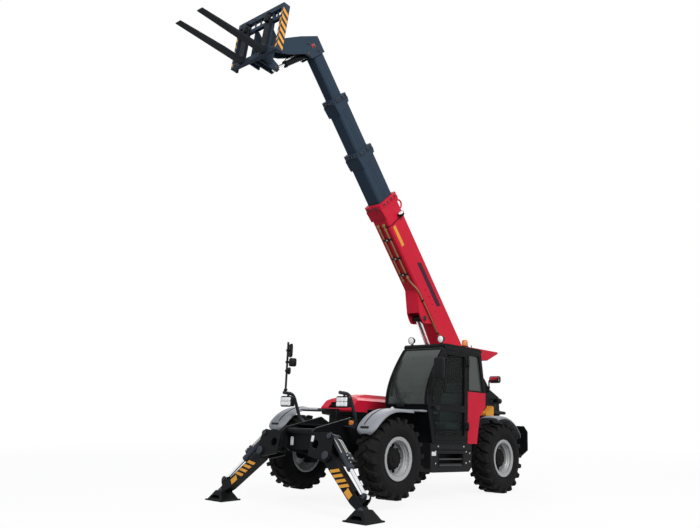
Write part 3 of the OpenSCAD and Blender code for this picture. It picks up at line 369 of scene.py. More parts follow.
def piece(name, shape, body, finish, slot=None, crease=35.0):
    """A mesh object of a shape that rides on a body, with smooth faces and edges sharp past the crease angle. Its slot
    argument is not used."""
    points, quads, tris = shape
    thing = mesh_object(name, points, quads.tolist() + tris.tolist())
    mesh = thing.data
    mesh.polygons.foreach_set("use_smooth", np.ones(len(mesh.polygons), bool))
    mesh.set_sharp_from_angle(angle=np.radians(crease))
    mesh.materials.append(material(finish))
    slot = slot or SLOTS[finish]
    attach(thing, body)
    return thing


def stand(thing, turn, place):
    """Links a camera or lamp into the scene, turned by a matrix whose columns are its axes, at a place."""
    matrix = np.eye(4)
    matrix[:3, :3], matrix[:3, 3] = turn, place
    thing.matrix_world = Matrix(matrix.tolist())
    bpy.context.scene.collection.objects.link(thing)


def ram_line(barrel, rod):
    """A cylinder's pivot and direction, from the joints of its barrel and its rod."""
    return np.array(JOINTS[barrel]["pos_m"]), np.array(JOINTS[rod]["axis"])


# shader sockets as Python values


class Wire:
    """A socket in a material's node tree. Arithmetic on it adds Math nodes; node() adds any other node."""

    def __init__(self, tree, socket=None):
        self.tree, self.socket = tree, socket

    def node(self, kind, settings=None, sockets=None, out=0):
        """Adds a node, sets its settings, then its sockets' values or links, and gives one of its outputs."""
        made = self.tree.nodes.new(kind)
        for key, value in (settings or {}).items():
            setattr(made, key, value)
        for key, value in (sockets or {}).items():
            if isinstance(value, Wire):
                self.tree.links.new(value.socket, made.inputs[key])
            else:
                made.inputs[key].default_value = value
        return Wire(self.tree, made.outputs[out]) if len(made.outputs) else None

    def math(self, operation, *values):
        """A Math node of the operation on these values."""
        return self.node("ShaderNodeMath", {"operation": operation}, dict(enumerate(values)))

    def __add__(self, other):
        return self.math("ADD", self, other)

    def __rsub__(self, other):
        return self.math("SUBTRACT", other, self)

    def __mul__(self, other):
        return self.math("MULTIPLY", self, other)

    __radd__, __rmul__ = __add__, __mul__

    def step(self, low, high):
        """0 below low, 1 over high and a smooth rise between them."""
        return self.node("ShaderNodeMapRange", {"interpolation_type": "SMOOTHSTEP"},
                         {"Value": self, "From Min": low, "From Max": high})

    def mixed(self, first, second):
        """A colour that goes from first to second as this value goes from 0 to 1."""
        pair = [value if isinstance(value, Wire) else (*value, 1.0) for value in (first, second)]
        return self.node("ShaderNodeMix", {"data_type": "RGBA"}, {0: self, 6: pair[0], 7: pair[1]}, 2)

    def place(self):
        """The point in the object's own space."""
        return self.node("ShaderNodeTexCoord", out=3)

    def coordinate(self, axis):
        """One coordinate of that point: 0 for x, 1 for y, 2 for z."""
        return self.node("ShaderNodeSeparateXYZ", sockets={0: self.place()}, out=axis)

    def wave(self, pace):
        """The sine of this value times a pace."""
        return self.math("SINE", self * pace)

    def noise(self, scale, detail=3.0, rough=0.5):
        """Fractal noise over the object's space."""
        return self.node("ShaderNodeTexNoise", {"noise_dimensions": "3D"},
                         {"Vector": self.place(), "Scale": scale, "Detail": detail, "Roughness": rough})

    def bump(self, height, strength=0.3, distance=0.002, normal=None):
        """A normal tipped by the slope of a height."""
        sockets = {"Height": height, "Strength": strength, "Distance": distance}
        if normal is not None:
            sockets["Normal"] = normal
        return self.node("ShaderNodeBump", sockets=sockets)

    def edges(self, radius=0.006):
        """A normal rounded over the solid's edges, and a mask that is 1 on those edges."""
        soft = self.node("ShaderNodeBevel", {"samples": 4}, {"Radius": radius})
        hard = self.node("ShaderNodeNewGeometry", out=3)
        match = self.node("ShaderNodeVectorMath", {"operation": "DOT_PRODUCT"}, {0: soft, 1: hard}, 1)
        return soft, (1.0 - match).step(0.01, 0.12)

    def upward(self):
        """1 on faces that look up in the object's own space, 0 on faces that look down or aside."""
        normal = self.node("ShaderNodeTexCoord", out=1)
        return self.node("ShaderNodeSeparateXYZ", sockets={0: normal}, out=2).step(0.3, 0.95)


def fresh_wire(owner):
    """The start of an empty node tree in a material or a world."""
    owner.use_nodes = True
    owner.node_tree.nodes.clear()
    return Wire(owner.node_tree)


FINISHES = {}


def finish(maker):
    """Keeps a finish's maker under its name, for material() to call once."""
    FINISHES[maker.__name__] = maker
    return maker


def material(name):
    """The named finish, made at its first use. A name such as tyre_rubber.fl is made for one wheel."""
    if name in bpy.data.materials:
        return bpy.data.materials[name]
    made = bpy.data.materials.new(name)
    wire = fresh_wire(made)
    maker, _, part = name.partition(".")
    sockets = FINISHES[maker](wire, bpy.context.scene.telehandler_paint, *([part] if part else []))
    shader = wire.node("ShaderNodeBsdfPrincipled", sockets=sockets)
    wire.node("ShaderNodeOutputMaterial", sockets={"Surface": shader})
    return made


def painted(wire, base, rough, specular, coat, edge_wear_and_highlight_tint, dust=0.10, edge=0.006):
    """Sprayed paint: faint mottling and orange peel, painted highlight and scuffed wear on edges, dust on what looks
    up.
    """
    soft, edge_wear_and_highlight = wire.edges(edge)
    cloud = wire.noise(2.2, 4.0, 0.6)
    peel = wire.noise(240.0, 2.0)
    scuff = wire.noise(9.0, 6.0, 0.7).step(0.55, 0.75)
    tone = (cloud.step(0.3, 0.7) * 0.25).mixed(base, tuple(min(1.0, c * 0.72) for c in base))
    # edge colour: scuffed wear where the scuff noise is high, plus an even painted highlight of 0.15 along every edge
    tone = (edge_wear_and_highlight * scuff * 0.75 + edge_wear_and_highlight * 0.15).mixed(tone, edge_wear_and_highlight_tint)
    tone = (wire.upward() * cloud.step(0.35, 0.75) * dust).mixed(tone, (0.30, 0.27, 0.23))
    return {
        "Base Color": tone,
        "Roughness": rough + 0.16 * cloud + 0.15 * scuff * edge_wear_and_highlight,
        "Specular IOR Level": specular,
        "Coat Weight": coat,
        "Coat Roughness": 0.08,
        "Normal": wire.bump(peel, 0.05, 0.001, soft),
    }


@finish
def red_paint(wire, paint):
    """Gloss red of the boom and the panels."""
    return painted(wire, tuple(paint.red), 0.40, 0.10, 0.08, (0.72, 0.06, 0.08), 0.02)


@finish
def slate_paint(wire, paint):
    """Dark slate of the inner boom sections and the carriage."""
    return painted(wire, tuple(paint.slate), 0.38, 0.08, 0.0, (0.12, 0.15, 0.18), 0.02)


@finish
def black_paint(wire, paint):
    """Satin black of the chassis and stabilisers."""
    return painted(wire, tuple(paint.black), 0.36, 0.08, 0.0, (0.16, 0.17, 0.18), 0.03)


@finish
def stab_paint(wire, paint):
    """Slate black of the stabiliser rams and their pins."""
    return painted(wire, (0.040, 0.047, 0.060), 0.34, 0.15, 0.0, (0.16, 0.17, 0.20), 0.03)


@finish
def guard_paint(wire, paint):
    """Dark grey of the bent guard tubes."""
    return painted(wire, (0.024, 0.028, 0.036), 0.30, 0.20, 0.0, (0.16, 0.17, 0.19), 0.02)


@finish
def bolt_black(wire, paint):
    """Blackened bolts with corners brightened by a painted highlight and wear, and a little rust."""
    fine = wire.noise(40.0, 4.0, 0.6)
    edge_wear_and_highlight = wire.edges(0.003)[1]
    tone = fine.step(0.5, 0.8).mixed((0.018, 0.019, 0.021), (0.055, 0.040, 0.028))
    # bright corners: a painted highlight along every edge, with wear
    tone = (edge_wear_and_highlight * 0.7).mixed(tone, (0.26, 0.26, 0.27))
    return {"Base Color": tone, "Roughness": 0.38 + 0.2 * fine, "Metallic": 0.4, "Specular IOR Level": 0.4}


@finish
def zinc_dark(wire, paint):
    """Galvanised treads, dulled by boots."""
    fine = wire.noise(30.0, 5.0, 0.65)
    return {"Base Color": fine.mixed((0.030, 0.031, 0.033), (0.10, 0.10, 0.10)), "Metallic": 0.6,
            "Roughness": 0.42 + 0.25 * fine, "Normal": wire.bump(fine, 0.2, 0.002)}


@finish
def cab_paint(wire, paint):
    """Smoother black of the cab, door and roof."""
    # the bluish edge colour is a painted highlight of a blue-grey reflection, mixed with wear
    return painted(wire, tuple(paint.cab), 0.26, 0.06, 0.02, (0.10, 0.12, 0.15), 0.01, 0.012)


@finish
def cast_black(wire, paint):
    """Rough painted casting of axles and knuckles."""
    made = painted(wire, tuple(paint.black), 0.5, 0.08, 0.0, (0.06, 0.06, 0.06), 0.12)
    made["Normal"] = wire.bump(wire.noise(70.0, 5.0, 0.7), 0.35, 0.003)
    return made


@finish
def engine_iron(wire, paint):
    """Dull grey engine paint under dust."""
    return painted(wire, (0.045, 0.048, 0.052), 0.5, 0.4, 0.0, (0.15, 0.15, 0.15), 0.3)


@finish
def fork_steel(wire, paint):
    """Dark forged steel with edges lighter from a painted highlight and wear."""
    return painted(wire, (0.010, 0.013, 0.018), 0.4, 0.08, 0.0, (0.20, 0.21, 0.23), 0.02)


@finish
def fender_plastic(wire, paint):
    """Grained grey plastic of the fenders."""
    grain = wire.noise(420.0, 2.0)
    cloud = wire.noise(3.0, 4.0, 0.6)
    soft, edge_wear_and_highlight = wire.edges(0.008)
    base = tuple(paint.grey)
    tone = (cloud * 0.3).mixed(base, tuple(c * 0.75 for c in base))
    # lighter edges: a painted highlight along every edge, with wear
    tone = (edge_wear_and_highlight * 0.35).mixed(tone, (0.52, 0.53, 0.57))
    return {"Base Color": tone, "Roughness": 0.42 + 0.2 * cloud, "Specular IOR Level": 0.25,
            "Normal": wire.bump(grain, 0.18, 0.0015, soft)}


@finish
def dark_plastic(wire, paint):
    """Grained black plastic of lamp bodies, mirrors and trim."""
    grain = wire.noise(520.0, 2.0)
    soft, edge_wear_and_highlight = wire.edges(0.006)
    # lighter edges: a painted highlight along every edge, with wear
    tone = (edge_wear_and_highlight * 0.5).mixed((0.010, 0.0105, 0.012), (0.05, 0.05, 0.055))
    return {"Base Color": tone, "Roughness": 0.42 + 0.15 * wire.noise(14.0), "Specular IOR Level": 0.10,
            "Normal": wire.bump(grain, 0.2, 0.001, soft)}


@finish
def rubber_seal(wire, paint):
    """Matt black rubber of seals, hoses and mats."""
    fine = wire.noise(300.0, 3.0)
    tone = wire.noise(12.0).step(0.4, 0.8).mixed((0.008, 0.008, 0.009), (0.022, 0.021, 0.020))
    return {"Base Color": tone, "Roughness": 0.62 + 0.2 * fine, "Specular IOR Level": 0.10,
            "Normal": wire.bump(fine, 0.15, 0.001)}


@finish
def tyre_rubber(wire, paint, wheel):
    """Tyre rubber about one wheel's middle: rings moulded in the side wall, and dry dust on the tread."""
    middle = JOINTS["wheel_" + wheel]["pos_m"]
    where = wire.node("ShaderNodeMapping", sockets={"Vector": wire.place(), "Location": [-c for c in middle]})
    flat = wire.node("ShaderNodeVectorMath", {"operation": "MULTIPLY"}, {0: where, 1: (1, 0, 1)})
    radius = wire.node("ShaderNodeVectorMath", {"operation": "LENGTH"}, {0: flat}, 1)
    cloud = wire.noise(7.0, 5.0, 0.65)
    fine = wire.noise(160.0, 4.0, 0.6)
    band = radius.step(0.36, 0.38) * (1.0 - radius.step(0.50, 0.52))
    rings = radius.wave(210.0) * band
    tread = radius.step(0.52, 0.60)
    base = tuple(paint.rubber)
    tone = (cloud.step(0.35, 0.75) * (0.25 + 0.4 * tread)).mixed(base, (0.032, 0.030, 0.028))
    return {"Base Color": tone, "Roughness": 0.66 + 0.22 * cloud, "Specular IOR Level": 0.08,
            "Normal": wire.bump(0.6 * rings + 0.5 * fine, 0.35, 0.004)}


@finish
def rim_silver(wire, paint):
    """Silver rim paint with a metal flake, patches of dust and edges brightened by a painted highlight and wear."""
    cloud = wire.noise(6.0, 4.0, 0.6)
    flake = wire.noise(900.0, 1.0)
    soft, edge_wear_and_highlight = wire.edges(0.006)
    base = tuple(paint.silver)
    tone = (cloud.step(0.45, 0.8) * 0.35).mixed(base, (0.20, 0.19, 0.18))
    # brighter edges: a painted highlight along every edge, with wear
    tone = (edge_wear_and_highlight * 0.5).mixed(tone, (0.78, 0.80, 0.83))
    return {"Base Color": tone, "Roughness": 0.30 + 0.12 * cloud + 0.04 * flake, "Metallic": 0.55,
            "Specular IOR Level": 0.5, "Normal": wire.bump(flake, 0.04, 0.0008, soft)}


@finish
def hub_black(wire, paint):
    """Black casting of the wheel hubs with brown rust and dust."""
    cloud = wire.noise(16.0, 5.0, 0.65)
    tone = cloud.step(0.55, 0.8).mixed((0.010, 0.010, 0.010), (0.060, 0.040, 0.024))
    return {"Base Color": tone, "Roughness": 0.55 + 0.2 * cloud, "Specular IOR Level": 0.08,
            "Normal": wire.bump(wire.noise(120.0, 4.0), 0.25, 0.002)}


@finish
def chrome_rod(wire, paint):
    """Hard chrome with a slightly uneven polish."""
    fine = wire.noise(60.0, 3.0)
    return {"Base Color": fine.mixed((0.74, 0.75, 0.78), (0.86, 0.87, 0.89)), "Metallic": 1.0,
            "Roughness": 0.10 + 0.10 * fine}


@finish
def zinc_steel(wire, paint):
    """Zinc plated bolts, pins and fittings."""
    fine = wire.noise(45.0, 4.0, 0.6)
    return {"Base Color": fine.mixed((0.36, 0.36, 0.36), (0.58, 0.57, 0.54)), "Metallic": 0.9,
            "Roughness": 0.32 + 0.2 * fine}


@finish
def brass_pipe(wire, paint):
    """Yellow plated steel pipes and brass fittings."""
    fine = wire.noise(25.0, 4.0, 0.6)
    return {"Base Color": fine.mixed((0.20, 0.115, 0.045), (0.36, 0.23, 0.10)), "Metallic": 0.75,
            "Roughness": 0.34 + 0.18 * fine}


@finish
def window_glass(wire, paint):
    """Grey green glass with dust, its colour partly tint and partly a painted reflection of green surroundings. The
    windscreen lets a little of the inside show; the other panes are close to opaque, a painted shade of the dark cab."""
    film = wire.noise(5.0, 4.0, 0.6)
    screen = wire.coordinate(0).step(-0.75, -0.65) * wire.coordinate(1).step(0.30, 0.36)
    # the grey green colour is partly tint and partly a painted reflection; the near opaque panes are a painted shade of
    # the cab inside
    return {"Base Color": film.mixed((0.036, 0.048, 0.043), (0.062, 0.074, 0.067)), "Roughness": 0.05 + 0.10 * film,
            "Alpha": 0.82 + 0.10 * film + 0.18 * (1.0 - screen), "Specular IOR Level": 0.30}


@finish
def door_pane(wire, paint):
    """Darker glass of the door, which shows the seat behind it."""
    film = wire.noise(5.0, 4.0, 0.6)
    return {"Base Color": film.mixed((0.006, 0.010, 0.009), (0.020, 0.026, 0.024)), "Roughness": 0.04 + 0.08 * film,
            "Alpha": 0.30 + 0.10 * film, "Specular IOR Level": 0.12}


@finish
def lamp_lens(wire, paint):
    """Bright ribbed lens of the work lamps; its faint emission is a painted glow, as the lamps give no light."""
    ribs = wire.coordinate(1).wave(420.0)
    # the Emission Strength of 0.12 is a painted glow on a lamp that gives no light in the scene
    return {"Base Color": ribs.step(-1, 1).mixed((0.78, 0.80, 0.82), (0.92, 0.93, 0.94)), "Roughness": 0.16,
            "Emission Color": (1, 1, 1, 1), "Emission Strength": 0.12, "Coat Weight": 0.6,
            "Normal": wire.bump(ribs, 0.4, 0.002)}


@finish
def mirror_glass(wire, paint):
    """Silvered mirror glass."""
    film = wire.noise(9.0, 3.0)
    return {"Base Color": film.mixed((0.70, 0.73, 0.75), (0.82, 0.84, 0.86)), "Metallic": 1.0,
            "Roughness": 0.03 + 0.06 * film}


def lit_plastic(wire, base, deep):
    """Clear coloured lens plastic with fine ribs up its height."""
    ribs = wire.coordinate(2).wave(500.0)
    return {"Base Color": ribs.step(-1, 1).mixed(deep, base), "Roughness": 0.18 + 0.05 * wire.noise(30.0),
            "Specular IOR Level": 0.5, "Coat Weight": 0.5, "Normal": wire.bump(ribs, 0.3, 0.001)}


@finish
def amber_lens(wire, paint):
    """Amber lens of the beacon and the markers."""
    base = tuple(paint.amber)
    return lit_plastic(wire, base, tuple(c * 0.7 for c in base))


@finish
def red_lens(wire, paint):
    """Red lens of the rear lamps."""
    return lit_plastic(wire, (0.45, 0.012, 0.018), (0.25, 0.006, 0.010))


@finish
def white_reflector(wire, paint):
    """White reflecting tape and blank plates, a little grubby."""
    cell = wire.node("ShaderNodeTexVoronoi", sockets={"Vector": wire.place(), "Scale": 260.0})
    grime = wire.noise(18.0, 4.0).step(0.5, 0.8)
    return {"Base Color": (grime * 0.35).mixed((0.86, 0.87, 0.88), (0.45, 0.43, 0.40)),
            "Roughness": 0.25 + 0.2 * cell, "Specular IOR Level": 0.5}


@finish
def stripe_yellow(wire, paint):
    """Yellow film, rubbed through in places."""
    rub = wire.noise(34.0, 6.0, 0.7).step(0.60, 0.74)
    cloud = wire.noise(5.0, 3.0)
    base = tuple(paint.yellow)
    tone = (cloud * 0.4).mixed(base, (base[0] * 0.85, base[1] * 0.62, base[2]))
    return {"Base Color": (rub * 0.7).mixed(tone, (0.05, 0.04, 0.03)), "Roughness": 0.38 + 0.2 * cloud,
            "Specular IOR Level": 0.4}


@finish
def stripe_purple(wire, paint):
    """Dark plain band on the boom's side, a little uneven in tone."""
    cloud = wire.noise(6.0, 3.0)
    return {"Base Color": cloud.mixed((0.045, 0.012, 0.030), (0.080, 0.018, 0.042)), "Roughness": 0.45,
            "Specular IOR Level": 0.1}


@finish
def seat_cloth(wire, paint):
    """Woven seat cloth: crossed waves for warp and weft, with pile noise."""
    weave = wire.coordinate(1).wave(900.0) * wire.coordinate(2).wave(900.0)
    pile = wire.noise(60.0, 4.0, 0.7)
    base = tuple(paint.seat)
    return {"Base Color": (pile * 0.8).mixed(base, tuple(c * 1.9 for c in base)), "Roughness": 0.9,
            "Specular IOR Level": 0.2, "Sheen Weight": 0.25, "Normal": wire.bump(weave + pile, 0.4, 0.001)}


NODE_FINISHES = {
    "red_paint": ("boom_outer", "engine_lid", "roof_cowl", "quarter_panel"),
    "slate_paint": ("boom_second", "boom_third", "boom_tip", "carriage"),
    "black_paint": ("chassis_frame", "frame_plate_l", "frame_plate_r", "counterweight", "stabiliser_beam",
                    "engine_bay", "stab_leg_l", "stab_leg_r", "lift_barrel", "tilt_barrel"),
    "stab_paint": ("stab_barrel_l", "stab_barrel_r"),
    "guard_paint": ("lamp_guards",),
    "cab_paint": ("cab_shell", "door", "cab_roof"),
    "dark_plastic": ("step_tank", "headlamps", "mirrors", "console", "roof_lamps"),
    "cast_black": ("front_axle", "rear_axle", "knuckle_fl", "knuckle_fr", "knuckle_rl", "knuckle_rr"),
    "engine_iron": ("engine_block",),
    "fork_steel": ("forks",),
    "fender_plastic": ("front_fenders", "rear_fenders"),
    "rim_silver": ("rim_fl", "rim_fr", "rim_rl", "rim_rr"),
    "chrome_rod": ("lift_rod", "tilt_rod", "stab_rod_l", "stab_rod_r"),
    "window_glass": ("cab_glass",),
    "door_pane": ("door_glass",),
    "amber_lens": ("beacon",),
    "red_lens": ("rear_lamps",),
    "seat_cloth": ("seat",),
}

SLOT_FINISHES = {
    "frame_black": ("hub_black", "black_paint", "bolt_black", "stab_paint", "cab_paint", "guard_paint", "zinc_dark",
                    "cast_black"),
    "black_plastic": ("dark_plastic", "rubber_seal"),
    "rod_chrome": ("brass_pipe", "zinc_steel", "mirror_glass", "chrome_rod"),
    "boom_red": ("red_paint",),
    "boom_slate": ("slate_paint",),
    "rim_silver": ("rim_silver",),
    "fender_grey": ("fender_plastic",),
    "seat_fabric": ("seat_cloth",),
    "engine_iron": ("engine_iron",),
    "lamp_white": ("lamp_lens", "white_reflector"),
    "lamp_amber": ("amber_lens",),
    "lamp_red": ("red_lens",),
}
SLOTS = {name: slot for slot, names in SLOT_FINISHES.items() for name in names}


# operators


class TELEHANDLER_OT_stage(bpy.types.Operator):
    """Sets the camera, the pale floor, the studio lamps and the world"""

    bl_idname = "telehandler.stage"
    bl_label = "Stage"

    def execute(self, context):
        scene = context.scene
        settings = scene.telehandler_stage
        scene.view_settings.view_transform = "Standard"
        yaw, pitch, roll = settings.yaw, settings.pitch, settings.roll
        look = np.array([np.cos(yaw) * np.cos(pitch), np.sin(yaw) * np.cos(pitch), np.sin(pitch)])
        right = unit(np.cross(look, Z_AXIS))
        rise = np.cross(right, look)
        turned = np.stack([np.cos(roll) * right + np.sin(roll) * rise,
                           np.cos(roll) * rise - np.sin(roll) * right, -look], 1)
        machine = np.stack([FORWARD, Y_AXIS, UP], 1)
        data = bpy.data.cameras.new("photo_camera")
        data.sensor_fit, data.sensor_width, data.lens = "HORIZONTAL", SENSOR_WIDTH, settings.lens
        data.clip_end = CLIP_END
        camera = bpy.data.objects.new("photo_camera", data)
        stand(camera, machine @ turned, at(*settings.place))
        scene.camera = camera
        self.make_floor(settings.floor)
        self.make_lamps()
        self.make_world(scene)
        return {"FINISHED"}

    def make_floor(self, half):
        """A flat grid that shows nearly white, whiter away from the machine, and keeps its shadow."""
        t = np.linspace(-half, half, FLOOR_POINTS)
        x, y = np.meshgrid(t, t, indexing="ij")
        points = np.stack([x, y, np.zeros_like(x)], -1).reshape(-1, 3)
        quads = grid_quads(np.arange(len(points)).reshape(x.shape))
        floor = mesh_object("studio_floor", points, quads.tolist())
        pale = bpy.data.materials.new("floor_pale")
        wire = fresh_wire(pale)
        seen = self.seen_ray(wire)
        dull = wire.node("ShaderNodeBsdfDiffuse", sockets={"Color": (0.13, 0.13, 0.135, 1)})
        card = wire.node("ShaderNodeBsdfDiffuse", sockets={"Color": (0.92, 0.92, 0.92, 1)})
        glow = wire.node("ShaderNodeEmission", sockets={"Color": (1, 1, 1, 1), "Strength": 1.0})
        reach = wire.node("ShaderNodeVectorMath", {"operation": "LENGTH"}, {0: wire.place()}, "Value")
        shown = wire.node("ShaderNodeMixShader", sockets={0: reach.step(7.0, 20.0) * 0.10 + 0.90, 1: card, 2: glow})
        both = wire.node("ShaderNodeMixShader", sockets={0: seen, 1: dull, 2: shown})
        wire.node("ShaderNodeOutputMaterial", sockets={"Surface": both})
        floor.data.materials.append(pale)

    def seen_ray(self, wire):
        """1 for rays from the camera, mirrors and glass."""
        kinds = ("Is Camera Ray", "Is Glossy Ray", "Is Transmission Ray")
        rays = [wire.node("ShaderNodeLightPath", out=kind) for kind in kinds]
        return wire.math("MINIMUM", rays[0] + rays[1] + rays[2], 1.0)

    def make_lamps(self):
        """Large soft lamps: a key high on the machine's left, a cooler fill ahead and a rim lamp behind."""
        lamps = (("key_lamp", (6.0, 15.0, 13.0), 9.0, 2600.0, (1.0, 0.98, 0.95)),
                 ("fill_lamp", (16.0, 2.0, 8.0), 8.0, 500.0, (0.95, 0.97, 1.0)),
                 ("rim_lamp", (-12.0, -9.0, 12.0), 8.0, 900.0, (1.0, 1.0, 1.0)))
        for name, place, size, power, tint in lamps:
            data = bpy.data.lights.new(name, "AREA")
            data.shape, data.size, data.energy, data.color = "DISK", size, power, tint
            lamp = bpy.data.objects.new(name, data)
            back = unit(np.array(place) - LAMPS_AIM)
            stand(lamp, np.stack([*axes_for(back), back], 1), place)

    def make_world(self, scene):
        """A white backdrop for seen rays and a softer sky for the light on the object."""
        world = bpy.data.worlds.new("studio_world")
        scene.world = world
        wire = fresh_wire(world)
        soft = wire.node("ShaderNodeBackground", sockets={"Color": (0.92, 0.96, 1.0, 1), "Strength": 0.42})
        white = wire.node("ShaderNodeBackground", sockets={"Color": (1, 1, 1, 1), "Strength": 1.0})
        both = wire.node("ShaderNodeMixShader", sockets={0: self.seen_ray(wire), 1: soft, 2: white})
        wire.node("ShaderNodeOutputWorld", sockets={"Surface": both})


class TELEHANDLER_OT_finishes(bpy.types.Operator):
    """Puts a finish on every solid of the CAD model"""

    bl_idname = "telehandler.finishes"
    bl_label = "Finishes"

    def execute(self, context):
        chosen = {node: name for name, nodes in NODE_FINISHES.items() for node in nodes}
        chosen.update({"tyre_" + wheel: "tyre_rubber." + wheel for wheel in WHEELS})
        bare = sorted(set(NODES) - set(chosen))
        if bare:
            raise RuntimeError("no finish for " + ", ".join(bare))
        for node, thing in NODES.items():
            thing.data.materials.clear()
            thing.data.materials.append(material(chosen[node]))
        return {"FINISHED"}


class TELEHANDLER_OT_wheels(bpy.types.Operator):
    """Makes the black hubs, their bolts, the wheel nuts, the rims' beads and the valves"""

    bl_idname = "telehandler.wheels"
    bl_label = "Wheel hubs"

    def execute(self, context):
        sizes = context.scene.telehandler_sizes
        drum = ((0.178, 0.004), (0.178, 0.024), (0.170, 0.034), (0.166, 0.072), (0.160, 0.084), (0.144, 0.090),
                (0.140, 0.100), (0.120, 0.106), (0.112, 0.100), (0.064, 0.100), (0.058, 0.110), (0.030, 0.116))
        for wheel in WHEELS:
            middle = np.array(JOINTS["wheel_" + wheel]["pos_m"])
            out = SIDES[wheel[1]] * Y_AXIS
            body = "wheel_" + wheel
            piece("hub_" + wheel, lathe(drum, middle, out, 56), body, "hub_black")
            caps = ring(middle + 0.105 * out, out, 0.130, 12)
            piece("hub_bolts_" + wheel, bolts(caps, out, 0.017, False), body, "hub_black")
            nuts = ring(middle + 0.0142 * out, out, 0.205, sizes.nuts)
            piece("wheel_nuts_" + wheel, bolts(nuts, out, 0.030), body, "hub_black")
            t = np.linspace(0, 2 * np.pi, 8, endpoint=False)
            beads = [lathe(np.stack([r + 0.008 * np.cos(t), d + 0.008 * np.sin(t)], 1), middle, out, 72, True)
                     for r, d in ((0.284, 0.166), (0.283, 0.138), (0.268, 0.106), (0.249, 0.078))]
            piece("rim_beads_" + wheel, joined(*beads), body, "rim_silver")
            stem = middle + 0.232 * unit((0.6, 0, 0.8))
            valve = lathe(((0.010, 0.010), (0.010, 0.022), (0.005, 0.026), (0.005, 0.052), (0.007, 0.053),
                           (0.007, 0.066)), stem, out, 12)
            piece("valve_" + wheel, valve, body, "brass_pipe")
        return {"FINISHED"}


